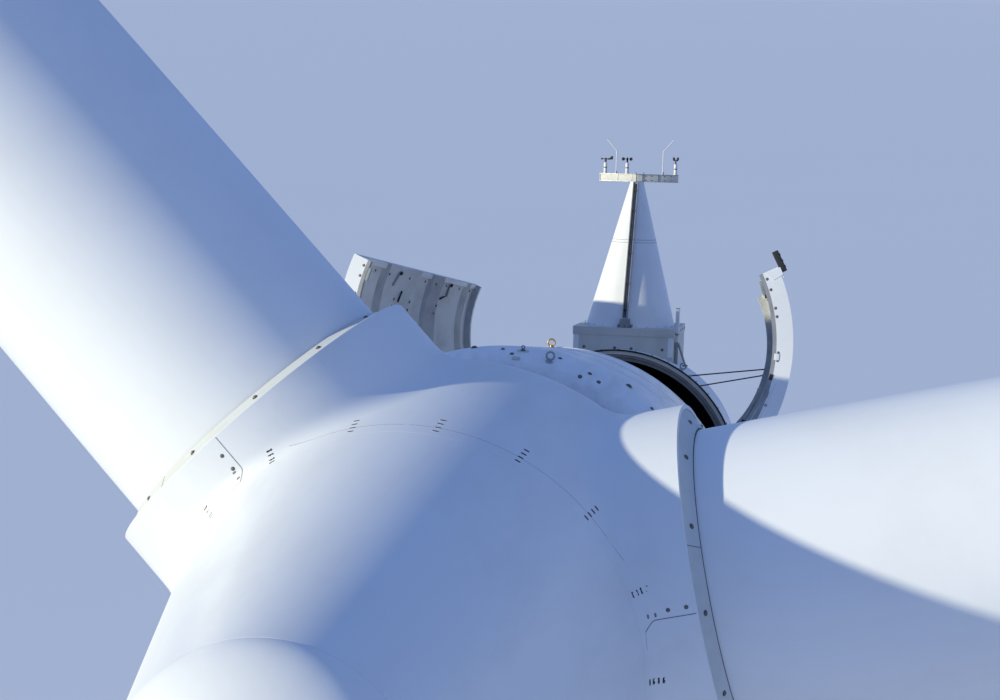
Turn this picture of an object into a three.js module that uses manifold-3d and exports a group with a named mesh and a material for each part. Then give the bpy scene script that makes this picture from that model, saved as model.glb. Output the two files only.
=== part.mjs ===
// Wind turbine nacelle with its hub and the roots of the three blades, at real size in millimetres.
// Up is +Z, the nose points to -Y, and the origin is the centre of the tower flange's lower face.
// The machine is drawn in its rotor frame: the rotor axis is Y, and the spinner's crest lies near Y = 0.
// One tilted group then lifts the nose by the rotor axis's tilt.
import * as THREE from 'three';
import { mergeVertices } from 'three/addons/utils/BufferGeometryUtils.js';
import Module from 'manifold-3d';

const wasm = await Module();
wasm.setup();

// Driving dimensions, in millimetres and degrees
const AXIS_TILT = 4;
const AXIS_HEIGHT = 3500;
const TOWER_STATION = 4300;
const SEAT_GAP = 0.3;
const RUNNING_GAP = 12;

const NOSE_TIP_STATION = -7500;
const CAP_JOINT_STATION = -6800;
const NOSE_JOINT_STATION = -2550;
const SPINNER_FRONT_RADIUS = 3140;
const SPINNER_FRONT_SLOPE = 0.26;
const SPINNER_REAR_RADIUS = 2985;
const SPINNER_REAR_SLOPE = 0.2;
const CREST_ROUNDING = 60;
const SPINNER_REAR_STATION = 2180;
const SHELL_THICKNESS = 60;

const RING_FRONT_STATION = 2240;
const RING_SHOULDER_STATION = 2750;
const RING_LIP_RADIUS = 2690;
const RING_SHOULDER_RADIUS = 2890;
const OPENING_FRONT_STATION = 6400;
const OPENING_FRONT_RADIUS = 2565;
const OPENING_REAR_STATION = 12030;
const OPENING_REAR_RADIUS = 2075;
const TAIL_ROUND_STATION = 13700;
const TAIL_END_STATION = 15000;
const HATCH_ANGLE = 72;

const RING_INNER_STATION = 4600;
const GENERATOR_FRONT_STATION = 2700;
const GENERATOR_SHOULDER_STATION = 3400;
const GENERATOR_REAR_STATION = 5300;
const GENERATOR_INSET = 150;
const AXLE_RADIUS = 600;
const AXLE_FRONT_STATION = -1500;
const HUB_RADIUS = 1500;
const HUB_BORE_CLEARANCE = 0.9;
const BLADE_SEAT_RADIUS = 1080;
const NOSE_CARRIER_THICKNESS = 120;
const NOSE_BOSS_RADIUS = 700;

const BLADE_PLANE_STATION = -450;
const LEFT_BLADE_ANGLE = 43.5;
const COLLAR_RADIUS = 1970;
const COLLAR_WALL = 45;
const COLLAR_RIM = 3050;
const ROOT_PLATE_RIM = 3040;
const ROOT_PLATE_RISE = 120;
const ROOT_PLATE_THICKNESS = 40;
const BLADE_ROOT_RADIUS = 1680;
const BLADE_INNER_STATION = 1900;
const BLADE_OUTER_STATION = 9600;
const PITCH_PIN_RADIUS = 300;
const PITCH_PIN_LENGTH = 250;
const PITCH_PIN_CLEARANCE = 0.8;

const FLANGE_RADIUS = 1750;
const FLANGE_THICKNESS = 120;
const YAW_COLLAR_RADIUS = 1620;
const YAW_COLLAR_TOP = 2000;

const HATCH_SKIN = 35;
const HATCH_FRAME_DEPTH = 280;
const HATCH_REAR_DEPTH = 140;
const HATCH_FRAME_WIDTH = 60;
const HATCH_RIB_DEPTH = 90;
const HATCH_RIB_WIDTH = 420;
const HATCH_RIB_COUNT = 4;
const HATCH_GAP = 12;
const HATCH_REAR_GAP = 22;
const LEFT_HATCH_OPEN = 67;
const RIGHT_HATCH_OPEN = 64;
const HINGE_OFFSET = 55;
const HINGE_PIN_RADIUS = 18;
const HINGE_PIN_CLEARANCE = 0.6;
const HINGE_LENGTH = 240;
const HINGE_KNUCKLE_RADIUS = 38;

const PLINTH_WIDTH = 1724;
const PLINTH_FRONT_STATION = 12640;
const PLINTH_REAR_STATION = 14240;
const PLINTH_TOP = 2390;
const PLINTH_FOOT = 900;
const MAST_HEIGHT = 2480;
const MAST_LEAN = 6;
const MAST_BASE_RADIUS = 770;
const MAST_TOP_RADIUS = 115;
const MAST_STATION = 13480;
const RAIL_WIDTH = 95;
const RAIL_DEPTH = 70;
const CROSSBAR_LENGTH = 1380;
const CROSSBAR_DEPTH = 135;
const CROSSBAR_THICKNESS = 55;
const CROSSBAR_SWEEP = 22;

const RING_SEGMENTS = 40;
const ROUND_SEGMENTS = 32;
const COARSE_SEGMENTS = 24;
const AXLE_SEGMENTS = 96;
const PITCH_SEGMENTS = 64;
const PIN_SEGMENTS = 32;
const SMALL_SEGMENTS = 16;

const radians = THREE.MathUtils.degToRad;
const AXIS_Y = new THREE.Vector3(0, 1, 0);

// Finishes seen on the machine
const FINISHES = {
  whiteShell: { color: 0xe9ecef, roughness: 0.42, metalness: 0.0 },
  bladeGelcoat: { color: 0xeef0f2, roughness: 0.35, metalness: 0.0 },
  rootPlate: { color: 0xcfcbb9, roughness: 0.6, metalness: 0.1 },
  innerGrey: { color: 0xb9bdbb, roughness: 0.7, metalness: 0.0 },
  castSteel: { color: 0x8f969c, roughness: 0.5, metalness: 0.6 },
  galvanised: { color: 0x9aa0a4, roughness: 0.45, metalness: 0.8 },
  sensorWhite: { color: 0xe6e6e2, roughness: 0.4, metalness: 0.0 },
  sensorBlack: { color: 0x1c1d20, roughness: 0.45, metalness: 0.0 },
  brassRing: { color: 0xb8924a, roughness: 0.35, metalness: 0.9 },
};

// Solids: every shape is turned into a closed solid, so that it can be cut and joined

function toSolid(geometry) {
  const plain = geometry.index ? geometry.toNonIndexed() : geometry.clone();
  plain.deleteAttribute('normal');
  plain.deleteAttribute('uv');
  const merged = mergeVertices(plain, 1e-3);
  const position = merged.attributes.position.array;
  const index = Array.from(merged.index.array);
  let volume = 0;
  for (let i = 0; i < index.length; i += 3) {
    const a = new THREE.Vector3().fromArray(position, 3 * index[i]);
    const b = new THREE.Vector3().fromArray(position, 3 * index[i + 1]);
    const c = new THREE.Vector3().fromArray(position, 3 * index[i + 2]);
    volume += a.dot(b.cross(c));
  }
  const kept = [];
  for (let i = 0; i < index.length; i += 3) {
    const triangle = [index[i], index[i + 1], index[i + 2]];
    if (new Set(triangle).size < 3) continue;
    if (volume < 0) triangle.reverse();
    kept.push(...triangle);
  }
  return new wasm.Manifold(new wasm.Mesh({
    numProp: 3,
    vertProperties: new Float32Array(position),
    triVerts: new Uint32Array(kept),
  }));
}

function toGeometry(solid) {
  const mesh = solid.getMesh();
  const geometry = new THREE.BufferGeometry();
  geometry.setAttribute('position', new THREE.BufferAttribute(mesh.vertProperties, 3));
  geometry.setIndex(new THREE.BufferAttribute(mesh.triVerts, 1));
  const faceted = geometry.toNonIndexed();
  faceted.computeVertexNormals();
  return faceted;
}

// A closed body of revolution about the rotor axis, from [radius, station] pairs
function turned(points, segments = RING_SEGMENTS) {
  const profile = points.map(([radius, station]) => new THREE.Vector2(radius, station));
  return new THREE.LatheGeometry(profile, segments);
}

function closedTurned(points, segments = RING_SEGMENTS) {
  return turned([...points, points[0]], segments);
}

function box(low, high) {
  const size = high.map((value, i) => value - low[i]);
  const centre = high.map((value, i) => (value + low[i]) / 2);
  return new THREE.BoxGeometry(...size).translate(...centre);
}

// A cylinder from one point to another
function rod(from, to, radius, segments = PIN_SEGMENTS) {
  const start = new THREE.Vector3(...from);
  const span = new THREE.Vector3(...to).sub(start);
  const turn = new THREE.Quaternion().setFromUnitVectors(AXIS_Y, span.clone().normalize());
  const geometry = new THREE.CylinderGeometry(radius, radius, span.length(), segments);
  geometry.applyQuaternion(turn);
  return geometry.translate(...start.addScaledVector(span, 0.5).toArray());
}

// The wedge between two angles about the rotor axis, counted from the top towards +X
function wedge(fromAngle, toAngle, fromStation, toStation) {
  const reach = 6000;
  const steps = Math.max(2, Math.ceil((toAngle - fromAngle) / 30));
  const outline = new THREE.Shape([new THREE.Vector2(0, 0)]);
  for (let i = 0; i <= steps; i += 1) {
    const angle = radians(fromAngle + ((toAngle - fromAngle) * i) / steps);
    outline.lineTo(reach * Math.sin(angle), reach * Math.cos(angle));
  }
  const depth = toStation - fromStation;
  const geometry = new THREE.ExtrudeGeometry(outline, { depth, bevelEnabled: false });
  // the outline's (x, y) become (x, z), and the depth runs along the axis
  return geometry.rotateX(Math.PI / 2).translate(0, toStation, 0);
}

const assembly = new THREE.Group();
const tilted = new THREE.Group();
tilted.rotation.x = -radians(AXIS_TILT);
tilted.position.set(
  0,
  -TOWER_STATION * Math.cos(radians(AXIS_TILT)),
  AXIS_HEIGHT + TOWER_STATION * Math.sin(radians(AXIS_TILT)),
);
assembly.add(tilted);
tilted.updateMatrix();

function addMesh(parent, name, solid, finish) {
  const mesh = new THREE.Mesh(toGeometry(solid), new THREE.MeshStandardMaterial(FINISHES[finish]));
  mesh.name = name;
  parent.add(mesh);
  return mesh;
}

// The hull: one smooth drop shape about the rotor axis

// The spinner's two cones meet in a soft crest
function spinnerRadius(station) {
  const front = SPINNER_FRONT_RADIUS + SPINNER_FRONT_SLOPE * station;
  const rear = SPINNER_REAR_RADIUS - SPINNER_REAR_SLOPE * station;
  return (front + rear) / 2 - Math.hypot((front - rear) / 2, CREST_ROUNDING);
}

function nacelleRadius(station) {
  if (station < RING_SHOULDER_STATION) {
    const share = (RING_SHOULDER_STATION - station) / (RING_SHOULDER_STATION - RING_FRONT_STATION);
    const drop = RING_SHOULDER_RADIUS - RING_LIP_RADIUS;
    return RING_SHOULDER_RADIUS - drop * (1 - Math.sqrt(Math.max(0, 1 - share ** 2)));
  }
  if (station < OPENING_FRONT_STATION) {
    const share = (station - RING_SHOULDER_STATION) / (OPENING_FRONT_STATION - RING_SHOULDER_STATION);
    return RING_SHOULDER_RADIUS + (OPENING_FRONT_RADIUS - RING_SHOULDER_RADIUS) * share;
  }
  const slope = (OPENING_REAR_RADIUS - OPENING_FRONT_RADIUS) / (OPENING_REAR_STATION - OPENING_FRONT_STATION);
  if (station < TAIL_ROUND_STATION) {
    return OPENING_FRONT_RADIUS + slope * (station - OPENING_FRONT_STATION);
  }
  const shoulder = OPENING_FRONT_RADIUS + slope * (TAIL_ROUND_STATION - OPENING_FRONT_STATION);
  const share = (station - TAIL_ROUND_STATION) / (TAIL_END_STATION - TAIL_ROUND_STATION);
  return shoulder * Math.sqrt(Math.max(0, 1 - share ** 2.2));
}

function stations(from, to, count) {
  return Array.from({ length: count + 1 }, (_, i) => from + ((to - from) * i) / count);
}

function contour(radiusAt, list, offset = 0) {
  return list.map((station) => [radiusAt(station) + offset, station]);
}

const RING_STATIONS = [
  ...stations(RING_FRONT_STATION, RING_SHOULDER_STATION, 3),
  OPENING_FRONT_STATION,
];
const MIDDLE_STATIONS = stations(OPENING_FRONT_STATION, OPENING_REAR_STATION, 4);
const REAR_FRAME_LENGTH = 160;
const TAIL_STATIONS = [
  OPENING_REAR_STATION + REAR_FRAME_LENGTH,
  TAIL_ROUND_STATION,
  ...[0.3, 0.52, 0.7, 0.84, 0.94].map(
    (share) => TAIL_ROUND_STATION + share * (TAIL_END_STATION - TAIL_ROUND_STATION),
  ),
];

// The whole nacelle hull as one solid, a little larger, which trims what stands on it
function hullCutter(offset) {
  const rear = nacelleRadius(OPENING_REAR_STATION + REAR_FRAME_LENGTH);
  return toSolid(turned([
    [0, RING_FRONT_STATION],
    ...contour(nacelleRadius, RING_STATIONS, offset),
    ...contour(nacelleRadius, MIDDLE_STATIONS.slice(1), offset),
    [rear + offset, OPENING_REAR_STATION + REAR_FRAME_LENGTH],
    ...contour(nacelleRadius, TAIL_STATIONS.slice(1), offset),
    [0, TAIL_END_STATION + offset],
  ]));
}

const hullTrim = hullCutter(SEAT_GAP);

// Tower flange and yaw collar

function buildTowerFlange() {
  const disc = new THREE.CylinderGeometry(FLANGE_RADIUS, FLANGE_RADIUS, FLANGE_THICKNESS, RING_SEGMENTS);
  disc.rotateX(Math.PI / 2).translate(0, 0, FLANGE_THICKNESS / 2);
  addMesh(assembly, 'tower_flange', toSolid(disc), 'galvanised');
}

function buildYawCollar() {
  const low = FLANGE_THICKNESS + SEAT_GAP;
  const height = YAW_COLLAR_TOP - low;
  const wall = new THREE.CylinderGeometry(YAW_COLLAR_RADIUS, YAW_COLLAR_RADIUS, height, RING_SEGMENTS);
  wall.rotateX(Math.PI / 2).translate(0, 0, low + height / 2);
  const hull = toSolid(toGeometry(hullTrim).applyMatrix4(tilted.matrix));
  addMesh(assembly, 'yaw_collar', toSolid(wall).subtract(hull), 'whiteShell');
}

// Generator ring, generator and axle

const lipInnerRadius = RING_LIP_RADIUS - 2 * SHELL_THICKNESS;

function buildRing() {
  const outer = contour(nacelleRadius, RING_STATIONS);
  const inner = [
    [OPENING_FRONT_RADIUS - SHELL_THICKNESS, OPENING_FRONT_STATION],
    [nacelleRadius(RING_INNER_STATION) - SHELL_THICKNESS, RING_INNER_STATION],
    [RING_SHOULDER_RADIUS - SHELL_THICKNESS, RING_SHOULDER_STATION + SHELL_THICKNESS],
    [lipInnerRadius, RING_FRONT_STATION + SHELL_THICKNESS],
    [lipInnerRadius, RING_FRONT_STATION],
  ];
  addMesh(tilted, 'generator_ring_casing', toSolid(closedTurned([...outer, ...inner])), 'whiteShell');
}

function buildGenerator() {
  const inside = SHELL_THICKNESS + SEAT_GAP;
  const seat = nacelleRadius(RING_INNER_STATION) - inside;
  const drum = turned([
    [0, GENERATOR_FRONT_STATION],
    [lipInnerRadius - GENERATOR_INSET, GENERATOR_FRONT_STATION],
    [seat - SHELL_THICKNESS, GENERATOR_SHOULDER_STATION],
    [seat, RING_INNER_STATION - 1],
    [seat, RING_INNER_STATION],
    [nacelleRadius(GENERATOR_REAR_STATION) - inside - 20, GENERATOR_REAR_STATION],
    [0, GENERATOR_REAR_STATION],
  ]);
  addMesh(tilted, 'generator_drum', toSolid(drum), 'castSteel');
}

function buildAxle() {
  const axle = rod(
    [0, AXLE_FRONT_STATION, 0],
    [0, GENERATOR_FRONT_STATION - SEAT_GAP, 0],
    AXLE_RADIUS,
    AXLE_SEGMENTS,
  );
  addMesh(tilted, 'main_axle', toSolid(axle), 'castSteel');
}

// Middle hull below the roof opening, in two halves

function buildSideShells() {
  const outer = contour(nacelleRadius, MIDDLE_STATIONS);
  outer[0][1] += SEAT_GAP;
  const inner = contour(nacelleRadius, [...MIDDLE_STATIONS].reverse(), -SHELL_THICKNESS);
  inner[inner.length - 1][1] += SEAT_GAP;
  const tube = toSolid(closedTurned([...outer, ...inner]));
  const halves = { right: [HATCH_ANGLE, 179.995], left: [180.005, 360 - HATCH_ANGLE] };
  for (const [side, [from, to]] of Object.entries(halves)) {
    const sector = toSolid(wedge(from, to, OPENING_FRONT_STATION - 10, OPENING_REAR_STATION + 10));
    addMesh(tilted, `side_shell_${side}`, tube.intersect(sector), 'whiteShell');
  }
}

// Rear frame: the stepped coaming round the roof opening's rear rim

// Each step reaches deeper inwards, and starts further back
const COAMING_STEPS = [{ depth: 50, back: 0 }, { depth: 120, back: 30 }, { depth: 200, back: 70 }];

function buildRearFrame() {
  const front = OPENING_REAR_STATION + SEAT_GAP;
  const rear = OPENING_REAR_STATION + REAR_FRAME_LENGTH - SEAT_GAP;
  const profile = [[OPENING_REAR_RADIUS, front], [nacelleRadius(rear), rear]];
  let end = rear;
  for (const { depth, back } of [...COAMING_STEPS].reverse()) {
    profile.push([OPENING_REAR_RADIUS - depth, end], [OPENING_REAR_RADIUS - depth, front + back]);
    end = front + back;
  }
  addMesh(tilted, 'rear_frame', toSolid(closedTurned(profile)), 'innerGrey');
}

function buildTail() {
  const outer = contour(nacelleRadius, TAIL_STATIONS);
  const inner = contour(nacelleRadius, TAIL_STATIONS.slice(1, -1).reverse(), -SHELL_THICKNESS);
  const shell = turned([
    [0, TAIL_END_STATION],
    ...outer.reverse(),
    [nacelleRadius(TAIL_STATIONS[0]) - SHELL_THICKNESS, TAIL_STATIONS[0]],
    ...inner.reverse(),
    [0, TAIL_END_STATION - 2.5 * SHELL_THICKNESS],
  ]);
  addMesh(tilted, 'tail_shell', toSolid(shell), 'whiteShell');
}

// Weather mast on its plinth

const halfWidth = PLINTH_WIDTH / 2;

function buildPlinth() {
  const block = box(
    [-halfWidth, PLINTH_FRONT_STATION, PLINTH_FOOT],
    [halfWidth, PLINTH_REAR_STATION, PLINTH_TOP],
  );
  addMesh(tilted, 'mast_plinth', toSolid(block).subtract(hullTrim), 'whiteShell');
}

// The mast leans back; this group stands on the plinth at the mast's foot
const mast = new THREE.Group();
mast.position.set(0, MAST_STATION, PLINTH_TOP + SEAT_GAP);
tilted.add(mast);
const leanShift = MAST_HEIGHT * Math.tan(radians(MAST_LEAN));

// A round cone whose top is shifted back, so that it leans
function mastCone(offset = 0, low = 0) {
  const cone = new THREE.CylinderGeometry(
    MAST_TOP_RADIUS + offset,
    MAST_BASE_RADIUS + offset,
    MAST_HEIGHT,
    ROUND_SEGMENTS,
  );
  cone.rotateX(Math.PI / 2).translate(0, 0, MAST_HEIGHT / 2 + low);
  const shear = new THREE.Matrix4().set(
    1, 0, 0, 0,
    0, 1, leanShift / MAST_HEIGHT, 0,
    0, 0, 1, 0,
    0, 0, 0, 1,
  );
  return cone.applyMatrix4(shear);
}

function buildMastFairings() {
  const cone = toSolid(mastCone());
  const reach = 2 * MAST_BASE_RADIUS;
  const halves = {
    right: box([SEAT_GAP / 2, -reach, -10], [reach, reach, MAST_HEIGHT + 10]),
    left: box([-reach, -reach, -10], [-SEAT_GAP / 2, reach, MAST_HEIGHT + 10]),
  };
  for (const [side, half] of Object.entries(halves)) {
    addMesh(mast, `mast_fairing_${side}`, cone.intersect(toSolid(half)), 'whiteShell');
  }
}

function buildMastRail() {
  const foot = -MAST_BASE_RADIUS;
  const head = leanShift - MAST_TOP_RADIUS;
  const outline = new THREE.Shape([
    new THREE.Vector2(foot - RAIL_DEPTH, 0),
    new THREE.Vector2(foot + RAIL_DEPTH, 0),
    new THREE.Vector2(head + RAIL_DEPTH, MAST_HEIGHT),
    new THREE.Vector2(head - RAIL_DEPTH, MAST_HEIGHT),
  ]);
  const bar = new THREE.ExtrudeGeometry(outline, { depth: RAIL_WIDTH, bevelEnabled: false });
  // the outline's (x, y) become (y, z)
  const turn = new THREE.Matrix4().set(
    0, 0, 1, -RAIL_WIDTH / 2,
    1, 0, 0, 0,
    0, 1, 0, 0,
    0, 0, 0, 1,
  );
  const rail = toSolid(bar.applyMatrix4(turn)).subtract(toSolid(mastCone(SEAT_GAP)));
  addMesh(mast, 'mast_cable_rail', rail, 'galvanised');
}

const crossbarBottom = MAST_HEIGHT + SEAT_GAP;
const crossbarTop = crossbarBottom + CROSSBAR_DEPTH;

// The point on the crossbar's centre line at a distance from the mast
function crossbarPoint(across) {
  const back = Math.abs(across) * Math.tan(radians(CROSSBAR_SWEEP));
  return [across, leanShift - MAST_TOP_RADIUS + CROSSBAR_THICKNESS + back];
}

function buildCrossbar() {
  const reach = CROSSBAR_LENGTH / 2;
  const thick = CROSSBAR_THICKNESS / 2;
  const edge = (list, side) => list.map((across) => {
    const [x, y] = crossbarPoint(across);
    return new THREE.Vector2(x, y + side * thick);
  });
  const outline = new THREE.Shape([...edge([-reach, 0, reach], -1), ...edge([reach, 0, -reach], 1)]);
  const bar = new THREE.ExtrudeGeometry(outline, { depth: CROSSBAR_DEPTH, bevelEnabled: false });
  addMesh(mast, 'mast_crossbar', toSolid(bar.translate(0, 0, crossbarBottom)), 'galvanised');
}

// Lightning rods stand on the crossbar and are bent outwards
const LIGHTNING_RODS = { left: -390, right: 430 };
const ROD_RADIUS = 9;
const ROD_BEND_HEIGHT = 420;
const ROD_BEND_EASE = 18;
const ROD_TIP_HEIGHT = 600;
const ROD_TIP_REACH = 175;

function buildLightningRods() {
  for (const [side, across] of Object.entries(LIGHTNING_RODS)) {
    const [x, y] = crossbarPoint(across);
    const out = Math.sign(across);
    const route = new THREE.CatmullRomCurve3([
      new THREE.Vector3(x, y, crossbarTop + SEAT_GAP),
      new THREE.Vector3(x, y, crossbarTop + ROD_BEND_HEIGHT / 2),
      new THREE.Vector3(x, y, crossbarTop + ROD_BEND_HEIGHT - 2 * ROD_BEND_EASE),
      new THREE.Vector3(x + out * ROD_BEND_EASE, y, crossbarTop + ROD_BEND_HEIGHT),
      new THREE.Vector3(x + out * ROD_TIP_REACH, y, crossbarTop + ROD_TIP_HEIGHT),
    ], false, 'centripetal');
    const section = new THREE.Shape();
    section.absarc(0, 0, ROD_RADIUS, 0, 2 * Math.PI);
    const sweep = new THREE.ExtrudeGeometry(section, { steps: 12, extrudePath: route, curveSegments: 4 });
    addMesh(mast, `lightning_rod_${side}`, toSolid(sweep), 'galvanised');
  }
}

// Sensors: a wind vane, a cup anemometer and a second sensor, each on its own housing
const VANE_ACROSS = -594;
const CUPS_ACROSS = -186;
const SENSOR_ACROSS = 642;
const HOUSING_RADIUS = 30;
const HOUSING_HEIGHT = 190;
const SPINDLE_RADIUS = 8;
const SPINDLE_LENGTH = 40;
const SPINDLE_CLEARANCE = 0.5;
const ROTOR_LIFT = 5.5;
const housingTop = crossbarTop + SEAT_GAP + HOUSING_HEIGHT;

// A round piece that stands upright between two heights
function upright(x, y, low, high, radius) {
  return toSolid(rod([x, y, low], [x, y, high], radius, SMALL_SEGMENTS));
}

function housingBody(across, spindle) {
  const [x, y] = crossbarPoint(across);
  const body = upright(x, y, crossbarTop + SEAT_GAP, housingTop, HOUSING_RADIUS);
  if (!spindle) return body;
  return body.add(upright(x, y, housingTop - 10, housingTop + SPINDLE_LENGTH, SPINDLE_RADIUS));
}

function spindleBore(x, y) {
  const top = housingTop + SPINDLE_LENGTH + 3;
  return upright(x, y, housingTop - 10, top, SPINDLE_RADIUS + SPINDLE_CLEARANCE);
}

const VANE_HUB = { radius: 17, height: 75 };
const VANE_BOOM = { radius: 6, front: 62, height: 55 };
const VANE_WEIGHT = { radius: 13, front: 80, rear: 55 };
const VANE_FIN = { front: 30, rear: 130, low: 40, high: 110, thickness: 5 };

function buildWindVane() {
  const [x, y] = crossbarPoint(VANE_ACROSS);
  addMesh(mast, 'vane_housing', housingBody(VANE_ACROSS, true), 'sensorWhite');
  const low = housingTop + ROTOR_LIFT;
  const boomHeight = low + VANE_BOOM.height;
  const hub = upright(x, y, low, low + VANE_HUB.height, VANE_HUB.radius);
  const boom = rod([x - VANE_BOOM.front, y, boomHeight], [x + 40, y, boomHeight], VANE_BOOM.radius, 8);
  const weight = rod(
    [x - VANE_WEIGHT.front, y, boomHeight],
    [x - VANE_WEIGHT.rear, y, boomHeight],
    VANE_WEIGHT.radius,
    SMALL_SEGMENTS,
  );
  const fin = box(
    [x + VANE_FIN.front, y - VANE_FIN.thickness / 2, low + VANE_FIN.low],
    [x + VANE_FIN.rear, y + VANE_FIN.thickness / 2, low + VANE_FIN.high],
  );
  const vane = hub.add(toSolid(boom)).add(toSolid(weight)).add(toSolid(fin));
  addMesh(mast, 'wind_vane', vane.subtract(spindleBore(x, y)), 'sensorBlack');
}

const CUP_COUNT = 3;
const CUP_RADIUS = 30;
const CUP_WALL = 5;
const CUP_REACH = 78;
const CUP_HEIGHT = 60;
const CUP_HUB = { radius: 15, height: 80 };

function buildAnemometer() {
  const [x, y] = crossbarPoint(CUPS_ACROSS);
  addMesh(mast, 'anemometer_housing', housingBody(CUPS_ACROSS, true), 'sensorWhite');
  const low = housingTop + ROTOR_LIFT;
  let cups = upright(x, y, low, low + CUP_HUB.height, CUP_HUB.radius);
  for (let i = 0; i < CUP_COUNT; i += 1) {
    // one arm along +X with its cup open towards -Y, turned to its place
    const turn = new THREE.Matrix4().makeTranslation(x, y, low + CUP_HEIGHT)
      .multiply(new THREE.Matrix4().makeRotationZ(radians(90 + (360 * i) / CUP_COUNT)));
    const place = (geometry) => toSolid(geometry.applyMatrix4(turn));
    const hollow = place(new THREE.SphereGeometry(CUP_RADIUS - CUP_WALL, 8, 6).translate(CUP_REACH, 0, 0));
    const size = 2 * CUP_RADIUS;
    const openHalf = box([-size, -size, -size], [size, 0, size]);
    const cup = place(new THREE.SphereGeometry(CUP_RADIUS, 10, 6).translate(CUP_REACH, 0, 0))
      .subtract(place(openHalf.translate(CUP_REACH, 0, 0)))
      .subtract(hollow);
    const arm = place(rod([0, 0, 0], [CUP_REACH - 18, 0, 0], 5, 8)).subtract(hollow);
    cups = cups.add(arm).add(cup);
  }
  addMesh(mast, 'anemometer_cups', cups.subtract(spindleBore(x, y)), 'sensorBlack');
}

const SENSOR_NECK = { radius: 13, height: 70 };
const SENSOR_HEAD = { radius: 32, height: 90 };

function buildSecondSensor() {
  const [x, y] = crossbarPoint(SENSOR_ACROSS);
  const neck = upright(x, y, housingTop - 10, housingTop + SENSOR_NECK.height, SENSOR_NECK.radius);
  const head = new THREE.SphereGeometry(SENSOR_HEAD.radius, 12, 8);
  head.translate(x, y, housingTop + SENSOR_HEAD.height);
  const sensor = housingBody(SENSOR_ACROSS, false).add(neck).add(toSolid(head));
  addMesh(mast, 'second_sensor', sensor, 'sensorWhite');
}

// A post with a strut stands beside the plinth, on its right
const POST_WIDTH = 90;
const POST_RISE = 430;
const POST_FOOT = 1300;
const POST_STRUT = { radius: 22, high: -290, low: -620, reach: 190 };

function buildSidePost() {
  const x = halfWidth + SEAT_GAP;
  const y = PLINTH_FRONT_STATION + 160;
  const middle = y + POST_WIDTH / 2;
  const post = toSolid(box([x, y, POST_FOOT], [x + POST_WIDTH, y + POST_WIDTH, PLINTH_TOP + POST_RISE]));
  const strut = toSolid(rod(
    [x + 60, middle, PLINTH_TOP + POST_STRUT.high],
    [x + POST_STRUT.reach, middle, PLINTH_TOP + POST_STRUT.low],
    POST_STRUT.radius,
    8,
  ));
  addMesh(tilted, 'plinth_side_post', post.add(strut).subtract(hullTrim), 'galvanised');
}

// Eye rings for ropes stand upright on the hull
const EYE_RING_RADIUS = 48;
const EYE_RING_BAR = 13;
const EYE_RING_LIFT = 20;
const EYE_STEM_RADIUS = 20;
const EYE_STEM_REACH = 40;
const EYE_RINGS = {
  front: { angle: -2.4, station: 6250, finish: 'brassRing' },
  front_low: { angle: 11.4, station: 2350, finish: 'galvanised' },
  rear: { angle: 31, station: OPENING_REAR_STATION + 100, finish: 'galvanised' },
};

function buildEyeRings() {
  for (const [place, { angle, station, finish }] of Object.entries(EYE_RINGS)) {
    const reach = nacelleRadius(station);
    const ring = new THREE.TorusGeometry(EYE_RING_RADIUS, EYE_RING_BAR, 6, 16).rotateX(Math.PI / 2);
    ring.translate(0, station, reach + EYE_RING_RADIUS + EYE_RING_LIFT);
    const stem = upright(0, station, reach - EYE_STEM_REACH, reach + EYE_STEM_REACH, EYE_STEM_RADIUS);
    const turn = new THREE.Matrix4().makeRotationAxis(AXIS_Y, radians(angle));
    const eye = toSolid(toGeometry(toSolid(ring).add(stem)).applyMatrix4(turn)).subtract(hullTrim);
    addMesh(tilted, `eye_ring_${place}`, eye, finish);
  }
}

// Rotor: spinner, collars, root plates and the hub that carries them; drawn in the rotor frame
const rotor = tilted;

const bladeAngles = { left: LEFT_BLADE_ANGLE, right: LEFT_BLADE_ANGLE - 120, lower: LEFT_BLADE_ANGLE + 120 };

// Turns a shape drawn for an upright blade, along +Z, to a blade's angle in the blades' own plane
function atBlade(solid, angle) {
  const turn = new THREE.Matrix4().makeRotationAxis(AXIS_Y, -radians(angle));
  turn.setPosition(0, BLADE_PLANE_STATION, 0);
  return toSolid(toGeometry(solid).applyMatrix4(turn));
}

// An upright cylinder about the blade axis
function bladeTube(radius, low, high, segments = RING_SEGMENTS) {
  return toSolid(new THREE.CylinderGeometry(radius, radius, high - low, segments)
    .rotateX(Math.PI / 2).translate(0, 0, (low + high) / 2));
}

const SPINNER_STATIONS = [NOSE_JOINT_STATION, -1500, -850, -450, -150, 200, 700, SPINNER_REAR_STATION];

function buildSpinnerNose() {
  const joints = [CAP_JOINT_STATION, NOSE_JOINT_STATION - SEAT_GAP];
  const outer = contour(spinnerRadius, joints);
  const inner = contour(spinnerRadius, [...joints].reverse(), -SHELL_THICKNESS);
  addMesh(rotor, 'spinner_nose', toSolid(closedTurned([...outer, ...inner])), 'whiteShell');
}

// A rounded cap, a quarter of an ellipse in section, closes the nose
const CAP_STEPS = 6;

function buildNoseCap() {
  const rear = CAP_JOINT_STATION - SEAT_GAP;
  const edge = (thickness) => Array.from({ length: CAP_STEPS + 1 }, (_, i) => {
    const angle = (Math.PI / 2) * (i / CAP_STEPS);
    const radius = spinnerRadius(rear) - thickness;
    const length = rear - NOSE_TIP_STATION - thickness;
    return [i === 0 ? 0 : radius * Math.sin(angle), rear - length * Math.cos(angle)];
  });
  const cap = turned([...edge(0), ...edge(SHELL_THICKNESS).reverse()]);
  addMesh(rotor, 'nose_cap', toSolid(cap), 'whiteShell');
}

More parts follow.
